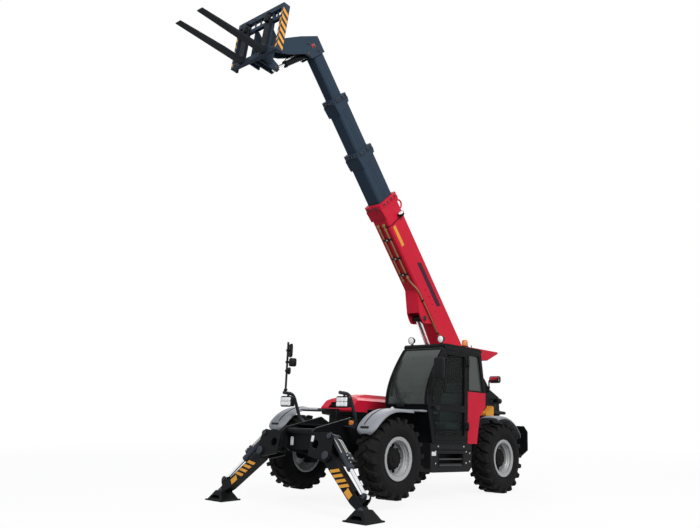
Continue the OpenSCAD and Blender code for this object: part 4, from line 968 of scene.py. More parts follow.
class TELEHANDLER_OT_boom_lines(bpy.types.Operator):
    """Makes the pipes, clamps, lamp, lug, plain bands and collar pads of the boom"""

    bl_idname = "telehandler.boom_lines"
    bl_label = "Boom lines"

    def execute(self, context):
        sizes = context.scene.telehandler_sizes
        self.make_pipes(sizes)
        self.make_lamp()
        self.make_bands(sizes)
        self.make_collars(sizes)
        return {"FINISHED"}

    def make_pipes(self, sizes):
        """Two pipes under the outer section. The left one bends out and runs on beside the lift bracket."""
        under = -0.265 - sizes.pipe - 0.004
        straight = on_boom((3.86, 3.82, 2.64, 2.60), -0.060, (-0.255, under, under, -0.255))
        bent = on_boom((3.86, 3.82, 2.66, 2.44, 1.10, 1.05), (0.070, 0.070, 0.070, 0.171, 0.171, 0.168),
                       (-0.255, under, under, under, under, -0.225))
        piece("boom_pipes", joined(tube(straight, sizes.pipe, 12, 0.03), tube(bent, sizes.pipe, 12, 0.07)),
              "boom_outer", "brass_pipe")
        nut = ((0.020, 0), (0.026, 0.004), (0.026, 0.034), (0.020, 0.040))
        nuts = [lathe(nut, on_boom(a, y, under), BOOM_ALONG, 6)
                for a, y in ((3.74, -0.060), (3.74, 0.070), (2.66, -0.060), (2.70, 0.070), (1.16, 0.171))]
        elbows = [block(on_boom(3.845, y, -0.282), (0.055, 0.050, 0.060), BOOM_ALONG, Y_AXIS, 0.010)
                  for y in (-0.060, 0.070)]
        piece("pipe_fittings", joined(*nuts, *elbows), "boom_outer", "brass_pipe")
        places = (3.55, 3.15, 2.80)
        clamps = [block(on_boom(a, 0.005, -0.284), (0.200, 0.044, 0.034), BOOM_ALONG, Y_AXIS, 0.008) for a in places]
        clamps += [block(on_boom(a, 0.166, -0.284), (0.050, 0.044, 0.034), BOOM_ALONG, Y_AXIS, 0.008)
                   for a in (2.20, 1.45)]
        piece("pipe_clamps", joined(*clamps), "boom_outer", "dark_plastic", "frame_black")
        piece("clamp_bolts", bolts(on_boom(places, 0.005, -0.306), -BOOM_UP, 0.016), "boom_outer", "zinc_steel")

    def make_lamp(self):
        """A work lamp on the left face with its bracket and lead, and a lug over the mouth of the outer section."""
        middle = on_boom(3.86, 0.232, 0.120)
        aim = unit(BOOM_ALONG - 0.25 * BOOM_UP + 0.2 * Y_AXIS)
        bowl = ((0.022, -0.062), (0.040, -0.050), (0.054, -0.020), (0.058, 0.012), (0.058, 0.020), (0.052, 0.021),
                (0.050, 0.014))
        piece("boom_lamp", lathe(bowl, middle, aim, 32), "boom_outer", "dark_plastic", "frame_black")
        lens = ((0.050, 0.012), (0.050, 0.016), (0.036, 0.022), (0.014, 0.025))
        piece("boom_lamp_lens", lathe(lens, middle, aim, 32), "boom_outer", "lamp_lens")
        foot = joined(block(on_boom(3.84, 0.178, 0.120), (0.050, 0.070, 0.020), Y_AXIS, BOOM_ALONG, 0.004),
                      tube(on_boom((3.84, 3.85), (0.180, 0.235), 0.120), 0.012, 10))
        piece("boom_lamp_foot", foot, "boom_outer", "black_paint")
        lead = on_boom((3.80, 3.80, 3.795, 3.79, 3.80, 3.83), (0.225, 0.182, 0.180, 0.180, 0.150, 0.070),
                       (0.115, 0.080, -0.060, -0.205, -0.283, -0.300))
        piece("boom_lamp_lead", tube(lead, 0.008, 8, 0.08), "boom_outer", "rubber_seal", "frame_black")
        loop = np.linspace(0, np.pi, 13)
        lug = on_boom(3.985 - 0.085 * np.cos(loop), 0.110, 0.292 + 0.105 * np.sin(loop))
        piece("boom_lug", tube(lug, 0.016, 12, 0.0), "boom_outer", "red_paint")

    def make_bands(self, sizes):
        """Films on the outer section's left face, each an outline carried out by the film's thickness, the sloping
        cover of the lift bracket, the ridges of the inner sections and the side bolts."""
        band = np.array([(2.86, 0.020), (2.79, 0.135), (1.80, 0.135), (1.87, 0.020)])
        plate = np.array([(3.74, -0.180), (3.74, -0.100), (3.32, -0.100), (3.32, -0.180)])
        for name, outline, colour in (("boom_band", band, "stripe_purple"), ("boom_plate", plate, "stripe_yellow")):
            film = slab(on_boom(outline[:, 0], 0.1695, outline[:, 1]), Y_AXIS, sizes.decal)
            piece(name, film, "boom_outer", colour, "boom_red")
        slope = on_boom((2.435, 2.060, 2.060, 2.435), (0.128, 0.128, -0.128, -0.128),
                        (-0.262, -0.488, -0.488, -0.262))
        cover = slab(slope, unit(BOOM_ALONG - 1.6 * BOOM_UP), 0.010)
        piece("lift_cover", cover, "boom_outer", "red_paint")
        rows = (("second", 2.60, 5.17, 0.147), ("third", 3.70, 6.19, 0.124), ("tip", 4.80, 7.05, 0.101))
        for name, start, end, wide in rows:
            ridges = [tube(on_boom((start, end), side * (wide - 0.001), n), 0.006, 8) for side in BOTH
                      for n in (0.020, -0.055)]
            piece("ridges_" + name, joined(*ridges), "boom_" + name, "slate_paint")
        heads = [bolts(on_boom(np.linspace(2.313, 1.81, 4), side * 0.170, -0.062), side * Y_AXIS, 0.022)
                 for side in BOTH]
        piece("boom_side_bolts", joined(*heads), "boom_outer", "red_paint")

    def make_collars(self, sizes):
        """Wear pad covers on the four faces of each collar, with their bolts."""
        rows = (("outer", 4.25, 0.297, 0.192, "red_paint"), ("second", 5.27, 0.254, 0.169, "slate_paint"),
                ("third", 6.29, 0.211, 0.146, "slate_paint"))
        pair = 0.18 * np.array([-1, 1])
        for name, mouth, deep, wide, colour in rows:
            a = mouth - 0.045
            plates, heads = [], []
            for side in BOTH:
                for part in (-0.42, 0.42):
                    plates.append(block(on_boom(a, side * (wide + 0.004), part * deep), (0.074, 0.62 * deep, 0.020),
                                        side * Y_AXIS, BOOM_ALONG, 0.005))
                    heads.append(bolts(on_boom(a, side * (wide + 0.014), (part + pair) * deep), side * Y_AXIS,
                                       sizes.bolt))
                    plates.append(block(on_boom(a, part * wide, side * (deep + 0.004)), (0.074, 0.62 * wide, 0.020),
                                        side * BOOM_UP, BOOM_ALONG, 0.005))
                    heads.append(bolts(on_boom(a, (part + pair) * wide, side * (deep + 0.014)), side * BOOM_UP,
                                       sizes.bolt))
            body = "boom_" + name
            piece("collar_covers_" + name, joined(*plates), body, colour)
            piece("collar_bolts_" + name, joined(*heads), body, "bolt_black")


class TELEHANDLER_OT_head(bpy.types.Operator):
    """Makes the dressing of the boom head, the tilt cylinder and the fork carriage"""

    bl_idname = "telehandler.head"
    bl_label = "Head and carriage"

    def execute(self, context):
        sizes = context.scene.telehandler_sizes
        heads, caps = [], []
        face = 0.125
        for side in BOTH:
            heads.append(bolts(on_boom((7.12, 7.22, 7.30), side * face, (0.02, -0.06, -0.15)), side * Y_AXIS, 0.030))
            caps.append(lathe(((0.058, 0), (0.058, 0.010), (0.050, 0.016), (0.020, 0.018)),
                              on_boom(7.47, side * 0.160, -0.870), side * Y_AXIS, 28))
            caps.append(lathe(((0.044, 0), (0.044, 0.008), (0.036, 0.014), (0.012, 0.016)),
                              on_boom(7.15, side * face, -0.246), side * Y_AXIS, 24))
        piece("head_bolts", joined(*heads), "boom_tip", "bolt_black")
        piece("head_pins", joined(*caps), "boom_tip", "bolt_black")
        plate = block(on_boom(7.235, 0.1265, -0.06), (0.070, 0.090, 0.006), Y_AXIS, BOOM_ALONG, 0.002, 0.012)
        piece("head_reflector", plate, "boom_tip", "red_lens")
        start, along = ram_line("tilt_barrel_pivot", "tilt_rod_slide")
        over = np.array([-along[2], 0, along[0]])
        line = spread(start, (along, Y_AXIS, over), (0.11, 0.14, 0.46, 0.50), 0.0, (0.056, 0.070, 0.070, 0.056))
        piece("tilt_pipe", tube(line, 0.009, 10, 0.02), "tilt_barrel", "zinc_steel")
        gland = lathe(((0.047, -0.012), (0.058, -0.010), (0.058, 0.022), (0.050, 0.028), (0.034, 0.028)),
                      start + 0.52 * along, along, 32, True)
        piece("tilt_gland", gland, "tilt_barrel", "black_paint", "ram_black")
        self.make_carriage(sizes)
        return {"FINISHED"}

    def make_carriage(self, sizes):
        """Slanting yellow films on both side bars, guard bars, fork latches, bolts and pin caps of the carriage."""
        low = np.arange(-0.37, 0.36, 0.118)[:-1]
        films = [slab(on_carriage((0.245, 0.365, 0.365, 0.245), side * 0.5545,
                                  (z, z + 0.085, z + 0.143, z + 0.058)), side * Y_AXIS, sizes.decal)
                 for side in BOTH for z in low]
        films += [slab(on_carriage(0.3695, side * np.array((0.517, 0.553, 0.553, 0.517)),
                                   (z, z + 0.030, z + 0.085, z + 0.055)), FORK_ALONG, sizes.decal)
                  for z in low for side in BOTH]
        piece("carriage_stripes", joined(*films), "carriage", "stripe_yellow", "boom_slate")
        latches, heads = [], []
        for y in (-0.270, 0.270):
            latches.append(block(on_carriage(0.400, y, 0.205), (0.085, 0.120, 0.090), FORK_UP, Y_AXIS, 0.012))
            latches.append(lathe(((0.014, 0), (0.014, 0.075), (0.026, 0.080), (0.026, 0.100), (0.018, 0.108)),
                                 on_carriage(0.405, y, 0.245), FORK_UP, 18))
            heads.append(bolts(on_carriage(0.4150, y + np.array((-0.040, 0.040)), -0.28), FORK_ALONG, 0.028))
        heads += [bolts(on_carriage(0.370, (-0.46, -0.14, 0.14, 0.46), z), FORK_ALONG, 0.026) for z in (-0.355, 0.405)]
        piece("fork_latches", joined(*latches), "carriage", "black_paint")
        piece("carriage_bolts", joined(*heads), "carriage", "bolt_black")
        teeth = block(on_carriage(0.335, 0.0, 0.455), (0.055, 1.040, 0.020), FORK_UP, FORK_ALONG, 0.006)
        guards = [tube(on_carriage(0.335, y, (0.19, 0.44)), 0.014, 10) for y in (-0.41, -0.135, 0.0, 0.135, 0.41)]
        piece("carriage_guard", joined(teeth, *guards), "carriage", "slate_paint")
        cap = ((0.046, 0), (0.046, 0.010), (0.036, 0.016), (0.014, 0.017))
        ends = [lathe(cap, on_carriage(-0.070, side * 0.072, -0.330), side * Y_AXIS, 24) for side in BOTH]
        piece("tilt_pin_caps", joined(*ends), "carriage", "bolt_black")


class TELEHANDLER_OT_lift(bpy.types.Operator):
    """Makes the pipe, gland and pin caps of the lift cylinder"""

    bl_idname = "telehandler.lift"
    bl_label = "Lift cylinder"

    def execute(self, context):
        start, along = ram_line("lift_barrel_pivot", "lift_rod_slide")
        over = np.array([-along[2], 0, along[0]])
        line = spread(start, (along, Y_AXIS, over), (0.16, 0.19, 1.34, 1.38), (-0.085, -0.104, -0.104, -0.085), 0.0)
        piece("lift_pipe", tube(line, 0.010, 10, 0.03), "lift_barrel", "zinc_steel")
        gland = ((0.093, -0.070), (0.104, -0.066), (0.104, -0.010), (0.098, 0.004), (0.078, 0.006), (0.074, 0.012),
                 (0.062, 0.012))
        gland = lathe(gland, start + 1.476 * along, along, 40, True)
        piece("lift_gland", gland, "lift_barrel", "black_paint", "ram_black")
        band = ((0.0905, -0.016), (0.0955, -0.014), (0.0955, 0.014), (0.0905, 0.016))
        bands = [lathe(band, start + a * along, along, 40, True) for a in (0.45, 1.10)]
        piece("lift_clips", joined(*bands), "lift_barrel", "black_paint", "ram_black")
        caps = [lathe(((0.050, 0), (0.050, 0.010), (0.040, 0.016), (0.015, 0.018)), on_boom(1.9, side * 0.162, -0.430),
                      side * Y_AXIS, 28) for side in BOTH]
        piece("lift_pin_caps", joined(*caps), "boom_outer", "bolt_black")
        eye = lathe(((0.052, -0.084), (0.0625, -0.080), (0.0625, 0.080), (0.052, 0.084)), on_boom(1.9, 0.0, -0.430),
                    Y_AXIS, 36)
        piece("lift_eye", eye, "lift_rod", "black_paint", "ram_black")
        return {"FINISHED"}


class TELEHANDLER_OT_stabilisers(bpy.types.Operator):
    """Makes the stripes, pipes, glands, fittings and pins of the two stabilisers"""

    bl_idname = "telehandler.stabilisers"
    bl_label = "Stabilisers"

    def execute(self, context):
        sizes = context.scene.telehandler_sizes
        for key, side in SIDES.items():
            leg, ram = "stab_leg_" + key, "stab_barrel_" + key
            self.make_stripes(key, side, leg, sizes)
            start, along = ram_line("stab_barrel_pivot_" + key, "stab_rod_slide_" + key)
            over = unit(np.cross(LEG_X, along) * side)
            axes = (along, LEG_X, over)
            lines = [tube(spread(start, axes, (0.100, 0.130, far - 0.04, far), x, (0.056, 0.078, 0.078, 0.056)), 0.009,
                          10, 0.03) for x, far in ((0.022, 0.560), (-0.022, 0.400))]
            lines.append(tube(spread(start, axes, (0.060, 0.120, 0.300, 0.340), (0.053, 0.061, 0.061, 0.053),
                                     (0.020, 0.030, 0.030, 0.020)), 0.008, 10, 0.03))
            piece("stab_pipes_" + key, joined(*lines), ram, "zinc_steel")
            gland = ((0.052, -0.045), (0.0585, -0.042), (0.0585, 0.000), (0.054, 0.008), (0.038, 0.010), (0.031, 0.014))
            valve = block(spread(start, axes, 0.47, 0.0, 0.080), (0.075, 0.150, 0.060), over, LEG_X, 0.010)
            gland = lathe(gland, start + 0.618 * along, along, 32, True)
            piece("stab_gland_" + key, joined(gland, valve), ram, "stab_paint", "ram_black")
            fittings = joined(bolts(spread(start, axes, (0.42, 0.52), 0.015, 0.110), over, 0.020),
                              bolts(spread(start, axes, (0.44, 0.50), 0.038, 0.082), LEG_X, 0.022, False))
            piece("stab_fittings_" + key, fittings, ram, "zinc_steel")
            caps = [lathe(((0.062, 0), (0.062, 0.010), (0.052, 0.018), (0.020, 0.020)), on_leg(side, x, 0.0, 0.0),
                          np.sign(x) * LEG_X, 28) for x in (0.121, -0.121)]
            caps += [lathe(((0.042, 0), (0.042, 0.008), (0.032, 0.014), (0.010, 0.015)), start + x * LEG_X,
                           np.sign(x) * LEG_X, 24) for x in (0.114, -0.114)]
            piece("stab_pins_" + key, joined(*caps), "chassis", "stab_paint")
            ends = [lathe(((0.034, 0), (0.034, 0.010), (0.026, 0.015), (0.010, 0.016)), on_leg(side, x, 0.950, 0.150),
                          np.sign(x) * LEG_X, 22) for x in (0.058, -0.058)]
            ends += [lathe(((0.050, 0), (0.050, 0.012), (0.040, 0.018), (0.012, 0.020)),
                           on_leg(side, x, LEG_LENGTH, 0.0), np.sign(x) * LEG_X, 26) for x in (0.066, -0.066)]
            piece("stab_ends_" + key, joined(*ends), leg, "stab_paint")
        return {"FINISHED"}

    def make_stripes(self, key, side, leg, sizes):
        """Yellow films on a leg: four slanting bars on its front and rear faces and a blank plate on its front."""
        shapes = [np.array([(s + 0.110, 0.050), (s + 0.168, 0.050), (s + 0.058, -0.088), (s, -0.088)])
                  for s in (0.200, 0.300, 0.400, 0.500)]
        plate = np.array([(0.660, 0.020), (0.800, 0.020), (0.800, -0.070), (0.660, -0.076)])
        films = [slab(on_leg(side, x, outline[:, 0], outline[:, 1]), np.sign(x) * LEG_X, sizes.decal)
                 for outline in shapes for x in (0.0656, -0.0656)]
        films.append(slab(on_leg(side, 0.0656, plate[:, 0], plate[:, 1]), LEG_X, sizes.decal))
        piece("stab_stripes_" + key, joined(*films), leg, "stripe_yellow", "frame_black")


class TELEHANDLER_OT_cab(bpy.types.Operator):
    """Makes the seals, wipers, handle, roof lamps, beacon and shelf of the cab"""

    bl_idname = "telehandler.cab"
    bl_label = "Cab"

    def execute(self, context):
        self.make_seals()
        self.make_wipers()
        self.make_roof()
        grip = joined(block(at(2.095, 1.192, 1.447), (0.150, 0.046, 0.026), Y_AXIS, FORWARD, 0.010),
                      *(block(at(x, 1.176, 1.447), (0.026, 0.040, 0.034), Y_AXIS, FORWARD, 0.006)
                        for x in (2.040, 2.150)))
        piece("door_grip", grip, "door", "dark_plastic")
        lock = lathe(((0.026, 0), (0.026, 0.006), (0.020, 0.010), (0.008, 0.010)), at(2.015, 1.160, 1.447), Y_AXIS, 24)
        piece("door_lock", lock, "door", "zinc_steel")
        covers = [block(at(1.168, 1.183, z + 0.055), (0.050, 0.050, 0.120), UP, FORWARD, 0.012, 0.020)
                  for z in (1.120, 2.220)]
        piece("hinge_covers", joined(*covers), "door", "dark_plastic")
        shelf = block(at(2.372, 0.730, 1.378), (0.200, 0.820, 0.034), UP, FORWARD, 0.012, 0.040)
        piece("front_shelf", shelf, "chassis", "fender_plastic")
        cap = lathe(((0.036, 0), (0.036, 0.018), (0.030, 0.026), (0.016, 0.028), (0.016, 0.040), (0.008, 0.044)),
                    at(2.400, 0.480, 1.394), UP, 24)
        piece("washer_cap", cap, "chassis", "white_reflector")
        rail = at((2.255, 2.275, 2.080, 1.990), (1.160, 1.190, 1.190, 1.160), (1.66, 1.70, 2.16, 2.22))
        piece("grab_rail", tube(rail, 0.012, 10, 0.05), "chassis", "cab_paint")
        return {"FINISHED"}

    def make_seals(self):
        """Rubber seals, each a round bar along a window's outline, half sunk in the wall."""
        y = 1.1605
        corner = np.array([(2.180, 1.580), (2.196, 1.890), (1.790, 2.370)])
        curve = bezier(np.linspace(0, 1, 7)[:, None], *corner)
        upper = np.vstack([[(1.246, 1.500), (2.195, 1.530)], curve, [(1.246, 2.370)]])
        lower = np.array([(1.246, 0.990), (2.075, 0.990), (2.170, 1.380), (2.160, 1.400), (1.246, 1.400)])
        rear = np.array([(1.120, 1.790), (1.120, 2.420), (0.790, 2.420), (0.650, 1.790)])
        doors = [hoop(at(line[:, 0], y, line[:, 1]), 0.010) for line in (upper, lower)]
        piece("door_seals", joined(*doors), "door", "rubber_seal")
        piece("rear_pane_seal", hoop(at(rear[:, 0], y, rear[:, 1]), 0.010), "chassis", "rubber_seal")
        t = np.linspace(0.01, 0.97, 14)
        edge = np.vstack([on_screen(t, 0.312, 0.002), on_screen(t[::-1], 1.103, 0.002)])
        piece("screen_seal", hoop(edge, 0.012), "chassis", "rubber_seal")
        lining = [tube(on_screen(t, y, 0.004), 0.014, 8, 0.0) for y in (0.268, 1.147)]
        piece("screen_pillars", joined(*lining), "chassis", "cab_paint")

    def make_wipers(self):
        """Two wiper arms to one carrier, and a blade along the screen beside its right edge."""
        steps = np.linspace(0, 1, 7)
        arms = [tube(on_screen(0.03 + 0.47 * steps, first + (0.365 - first) * steps, 0.034), 0.008, 8, 0.0)
                for first in (0.640, 0.580)]
        blade = tube(on_screen(np.linspace(0.17, 0.80, 9), np.linspace(0.372, 0.350, 9), 0.018), 0.010, 8, 0.0)
        carrier = block(on_screen(0.50, 0.362, 0.028), (0.034, 0.150, 0.016), FORWARD, Y_AXIS, 0.006)
        motor = block(on_screen(0.0, 0.610, 0.024), (0.150, 0.070, 0.050), FORWARD, Y_AXIS, 0.014)
        piece("wiper", joined(*arms, blade, carrier, motor), "chassis", "dark_plastic")

    def make_roof(self):
        """Two round work lamps, an amber beacon with a ribbed dome, and a short aerial."""
        bowls, lenses = [], []
        for y in (0.385, 1.030):
            middle = at(1.770, y, 2.634)
            aim = unit(FORWARD - 0.12 * UP)
            bowls.append(lathe(((0.024, -0.052), (0.044, -0.040), (0.060, -0.004), (0.066, 0.024), (0.066, 0.034),
                                (0.060, 0.036), (0.058, 0.028)), middle, aim, 36))
            bowls.append(tube(at(1.760, y, (2.550, 2.585)), 0.016, 12))
            bowls.append(lathe(((0.036, 0), (0.036, 0.008), (0.020, 0.014)), at(1.760, y, 2.550), UP, 24))
            lenses.append(lathe(((0.059, 0.024), (0.059, 0.032), (0.044, 0.040), (0.018, 0.044)), middle, aim, 36))
        bodies = piece("roof_lamp_bowls", joined(*bowls), "chassis", "dark_plastic")
        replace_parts(bodies, "roof_lamps")
        piece("roof_lamp_lenses", joined(*lenses), "chassis", "lamp_lens")
        foot = at(1.050, 1.030, 2.566)
        dome = lathe(((0.054, 0.022), (0.057, 0.030), (0.055, 0.050), (0.056, 0.060), (0.054, 0.080), (0.055, 0.090),
                      (0.050, 0.112), (0.040, 0.130), (0.020, 0.141)), foot, UP, 40)
        dome = piece("beacon_dome", dome, "chassis", "amber_lens")
        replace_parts(dome, "beacon")
        base = lathe(((0.062, 0), (0.064, 0.004), (0.064, 0.018), (0.058, 0.026), (0.040, 0.026)), foot, UP, 40)
        piece("beacon_base", base, "chassis", "dark_plastic")
        aerial = lathe(((0.022, 0), (0.022, 0.010), (0.010, 0.018), (0.007, 0.060), (0.009, 0.062), (0.009, 0.078),
                        (0.004, 0.082)), at(0.640, 0.900, 2.566), UP, 18)
        piece("aerial", aerial, "chassis", "rubber_seal")


class TELEHANDLER_OT_seat(bpy.types.Operator):
    """Makes the seat's cushions, arm pads and bellows, and the levers beside it"""

    bl_idname = "telehandler.seat"
    bl_label = "Seat"

    def execute(self, context):
        m = SEAT_MIDDLE
        lean = unit(-0.150 * FORWARD + 0.99 * UP)
        ahead = unit(0.99 * FORWARD + 0.150 * UP)
        cushion = pad(at(1.228, m, 1.160), (0.480, 0.470, 0.110), FORWARD, Y_AXIS, 0.012, 0.05, (-0.45, 0.35))
        cushion = piece("seat_cushion", cushion, "chassis", "seat_cloth")
        back = pad(at(1.005, m, 1.478), (0.570, 0.450, 0.088), lean, -Y_AXIS, 0.012, 0.05, (-0.40, 0.10, 0.55))
        back = piece("seat_back", back, "chassis", "seat_cloth")
        rest = pad(at(0.964, m, 1.846), (0.160, 0.250, 0.066), lean, -Y_AXIS, 0.008, 0.06)
        rest = piece("head_rest", rest, "chassis", "seat_cloth")
        arms = [pad(at(1.168, m + side * 0.275, 1.396), (0.310, 0.066, 0.046), FORWARD, Y_AXIS, 0.004, 0.03)
                for side in BOTH]
        arms = piece("arm_pads", joined(*arms), "chassis", "seat_cloth")
        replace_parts(cushion, "seat")
        folds = np.array([0.0, 0.03, 0.0, 0.03, 0.0, 0.03, 0.0, 0.03, 0.0])[:, None]
        rise = np.linspace(0.914, 1.100, len(folds))[:, None]
        x, y = rounded(0.390, 0.390, 0.060).T
        rings = at(1.200 + x * (1 - folds / 0.2), m + y * (1 - folds / 0.2), rise)
        piece("seat_bellows", skin(rings), "chassis", "rubber_seal", crease=20.0)
        frame_bars = [tube(at((1.030, 1.030, 1.060), m + side * np.array((0.225, 0.275, 0.275)),
                              (1.150, 1.240, 1.372)), 0.016, 10, 0.04) for side in BOTH]
        frame_bars += [tube(at((0.985, 0.972), m + y, (1.740, 1.790)), 0.009, 8) for y in (-0.060, 0.060)]
        piece("seat_bars", joined(*frame_bars), "chassis", "black_paint")
        stick = lathe(((0.036, 0), (0.034, 0.020), (0.014, 0.030), (0.013, 0.090), (0.024, 0.110), (0.028, 0.150),
                       (0.022, 0.176), (0.010, 0.182)), at(1.300, m - 0.275, 1.418), unit(UP + 0.15 * FORWARD), 22)
        piece("joystick", stick, "chassis", "dark_plastic")
        facing = unit(-FORWARD + 0.3 * UP - 0.4 * Y_AXIS)
        screen = block(at(2.020, 0.985, 1.560), (0.150, 0.200, 0.030), facing, None, 0.008)
        stalk = tube(at((2.040, 2.060), (0.985, 1.000), (1.500, 1.460)), 0.012, 8)
        piece("display", joined(screen, stalk), "chassis", "dark_plastic")
        mat = block(at(1.660, m, 0.918), (0.520, 0.760, 0.014), UP, FORWARD, 0.005, 0.05)
        pedals = [block(at(1.870, y, 0.990), (0.070, 0.100, 0.016), unit(1.2 * UP - ahead), None, 0.005)
                  for y in (0.560, 0.860)]
        piece("floor_mat", joined(mat, *pedals), "chassis", "rubber_seal")
        return {"FINISHED"}


class TELEHANDLER_OT_lamps(bpy.types.Operator):
    """Makes the lamp lenses, bent guards, side markers, mirrors and plain reflectors"""

    bl_idname = "telehandler.lamps"
    bl_label = "Lamps and mirrors"

    def execute(self, context):
        lenses, bezels, tubes, amber, frames = [], [], [], [], []
        for side in BOTH:
            y = side * 0.640
            lenses += [block(at(3.826, y + dy, 1.448 + dz), (0.072, 0.066, 0.020), FORWARD, Y_AXIS, 0.008, 0.014)
                       for dy in (-0.076, 0.0, 0.076) for dz in (-0.035, 0.035)]
            edge = rounded(0.244, 0.156, 0.024, 5)
            bezels.append(hoop(at(3.812, y + edge[:, 0], 1.448 + edge[:, 1]), 0.011))
            bezels.append(block(at(3.772, y, 1.448), (0.250, 0.162, 0.084), FORWARD, Y_AXIS, 0.026, 0.024))
            tubes.append(tube(at((3.400, 3.480, 3.660, 3.880), side * np.array((0.535, 0.640, 0.640, 0.640)),
                                 (1.072, 1.185, 1.580, 1.590)), 0.028, 16, 0.14, 9))
            tubes.append(block(at(3.410, side * 0.455, 1.083), (0.100, 0.200, 0.026), UP, FORWARD, 0.005))
            tubes.append(block(at(3.410, side * 0.544, 1.085), (0.070, 0.064, 0.066), UP, FORWARD, 0.010))
            tubes.append(block(at(3.770, y, 1.560), (0.040, 0.026, 0.060), UP, FORWARD, 0.005))
            out = side * Y_AXIS
            amber.append(block(at(3.285, side * 0.372, 1.140), (0.128, 0.070, 0.030), out, FORWARD, 0.008, 0.012))
            frames.append(block(at(3.285, side * 0.358, 1.140), (0.152, 0.092, 0.020), out, FORWARD, 0.005, 0.014))
        piece("headlamp_lenses", joined(*lenses), "chassis", "lamp_lens")
        piece("headlamp_bezels", joined(*bezels), "chassis", "dark_plastic")
        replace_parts(piece("guard_tubes", joined(*tubes), "chassis", "guard_paint"), "lamp_guards")
        piece("side_markers", joined(*amber), "chassis", "amber_lens")
        piece("marker_frames", joined(*frames), "chassis", "dark_plastic")
        self.make_mirrors()
        plain = [block(at(3.9915, -0.252, 0.825), (0.066, 0.130, 0.005), FORWARD, Y_AXIS, 0.002, 0.006),
                 block(spread(LEG_PIVOT, (LEG_X, Y_AXIS, LEG_UP), 0.1015, -0.345, 0.235), (0.056, 0.090, 0.005), LEG_X,
                       Y_AXIS, 0.002, 0.006),
                 block(at(2.110, 1.1515, 0.700), (0.118, 0.066, 0.004), Y_AXIS, FORWARD, 0.001, 0.006)]
        piece("reflectors", joined(*plain), "chassis", "white_reflector")
        return {"FINISHED"}

    def make_mirrors(self):
        """Crowned mirror housings, each with its glass on the face that the driver sees, on round arms and poles."""
        turned = unit(0.90 * FORWARD - 0.45 * Y_AXIS)
        beside = np.cross(UP, turned)
        rows = ((at(2.4175, 1.455, 2.070), 0.192, 0.345, 0.062, FORWARD, Y_AXIS, -1.0),
                (at(3.806, -0.606, 2.290), 0.150, 0.230, 0.040, turned, beside, -1.0),
                (at(3.778, -0.574, 2.095), 0.120, 0.140, 0.110, turned, beside, -1.0),
                (at(3.812, -0.612, 1.950), 0.110, 0.120, 0.036, turned, beside, -1.0),
                (at(-0.904, 0.455, 2.135), 0.262, 0.142, 0.046, FORWARD, Y_AXIS, 1.0))
        shells, panes = [], []
        for middle, wide, tall, deep, aim, across, face in rows:
            shells.append(block(middle, (wide, tall, deep), aim, across, 0.018, 0.040))
            panes.append(block(middle + face * (deep / 2 + 0.0005) * aim, (wide - 0.036, tall - 0.036, 0.005), aim,
                               across, 0.002, 0.028))
        piece("mirror_panes", joined(*panes), "chassis", "mirror_glass")
        pole = (3.840, -0.640)
        arms = [tube(at(*pole, (1.600, 2.430)), 0.018, 14)]
        arms += [tube(at((pole[0], x), (pole[1], y), z), 0.011, 10)
                 for x, y, z in ((3.812, -0.612, 2.290), (3.790, -0.588, 2.095), (3.818, -0.618, 1.950))]
        arms += [tube(at((2.114, 2.250, 2.420), (1.168, 1.310, 1.450), (2.050, 2.052, 2.070)), 0.013, 12, 0.08),
                 block(at(2.114, 1.168, 2.050), (0.040, 0.070, 0.018), Y_AXIS, FORWARD, 0.005),
                 tube(at((-0.800, -0.800, -0.890), 0.380, (1.866, 2.120, 2.120)), 0.014, 12, 0.06, 7)]
        arms += [block(at(*pole, z), (0.050, 0.050, 0.040), UP, FORWARD, 0.010) for z in (1.636, 1.950, 2.095, 2.290)]
        arms += [block(at(-0.800, 0.372, z), (0.050, 0.050, 0.028), UP, FORWARD, 0.006) for z in (1.897, 1.967)]
        housings = piece("mirror_housings", joined(*shells, *arms), "chassis", "dark_plastic")
        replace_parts(housings, "mirrors")


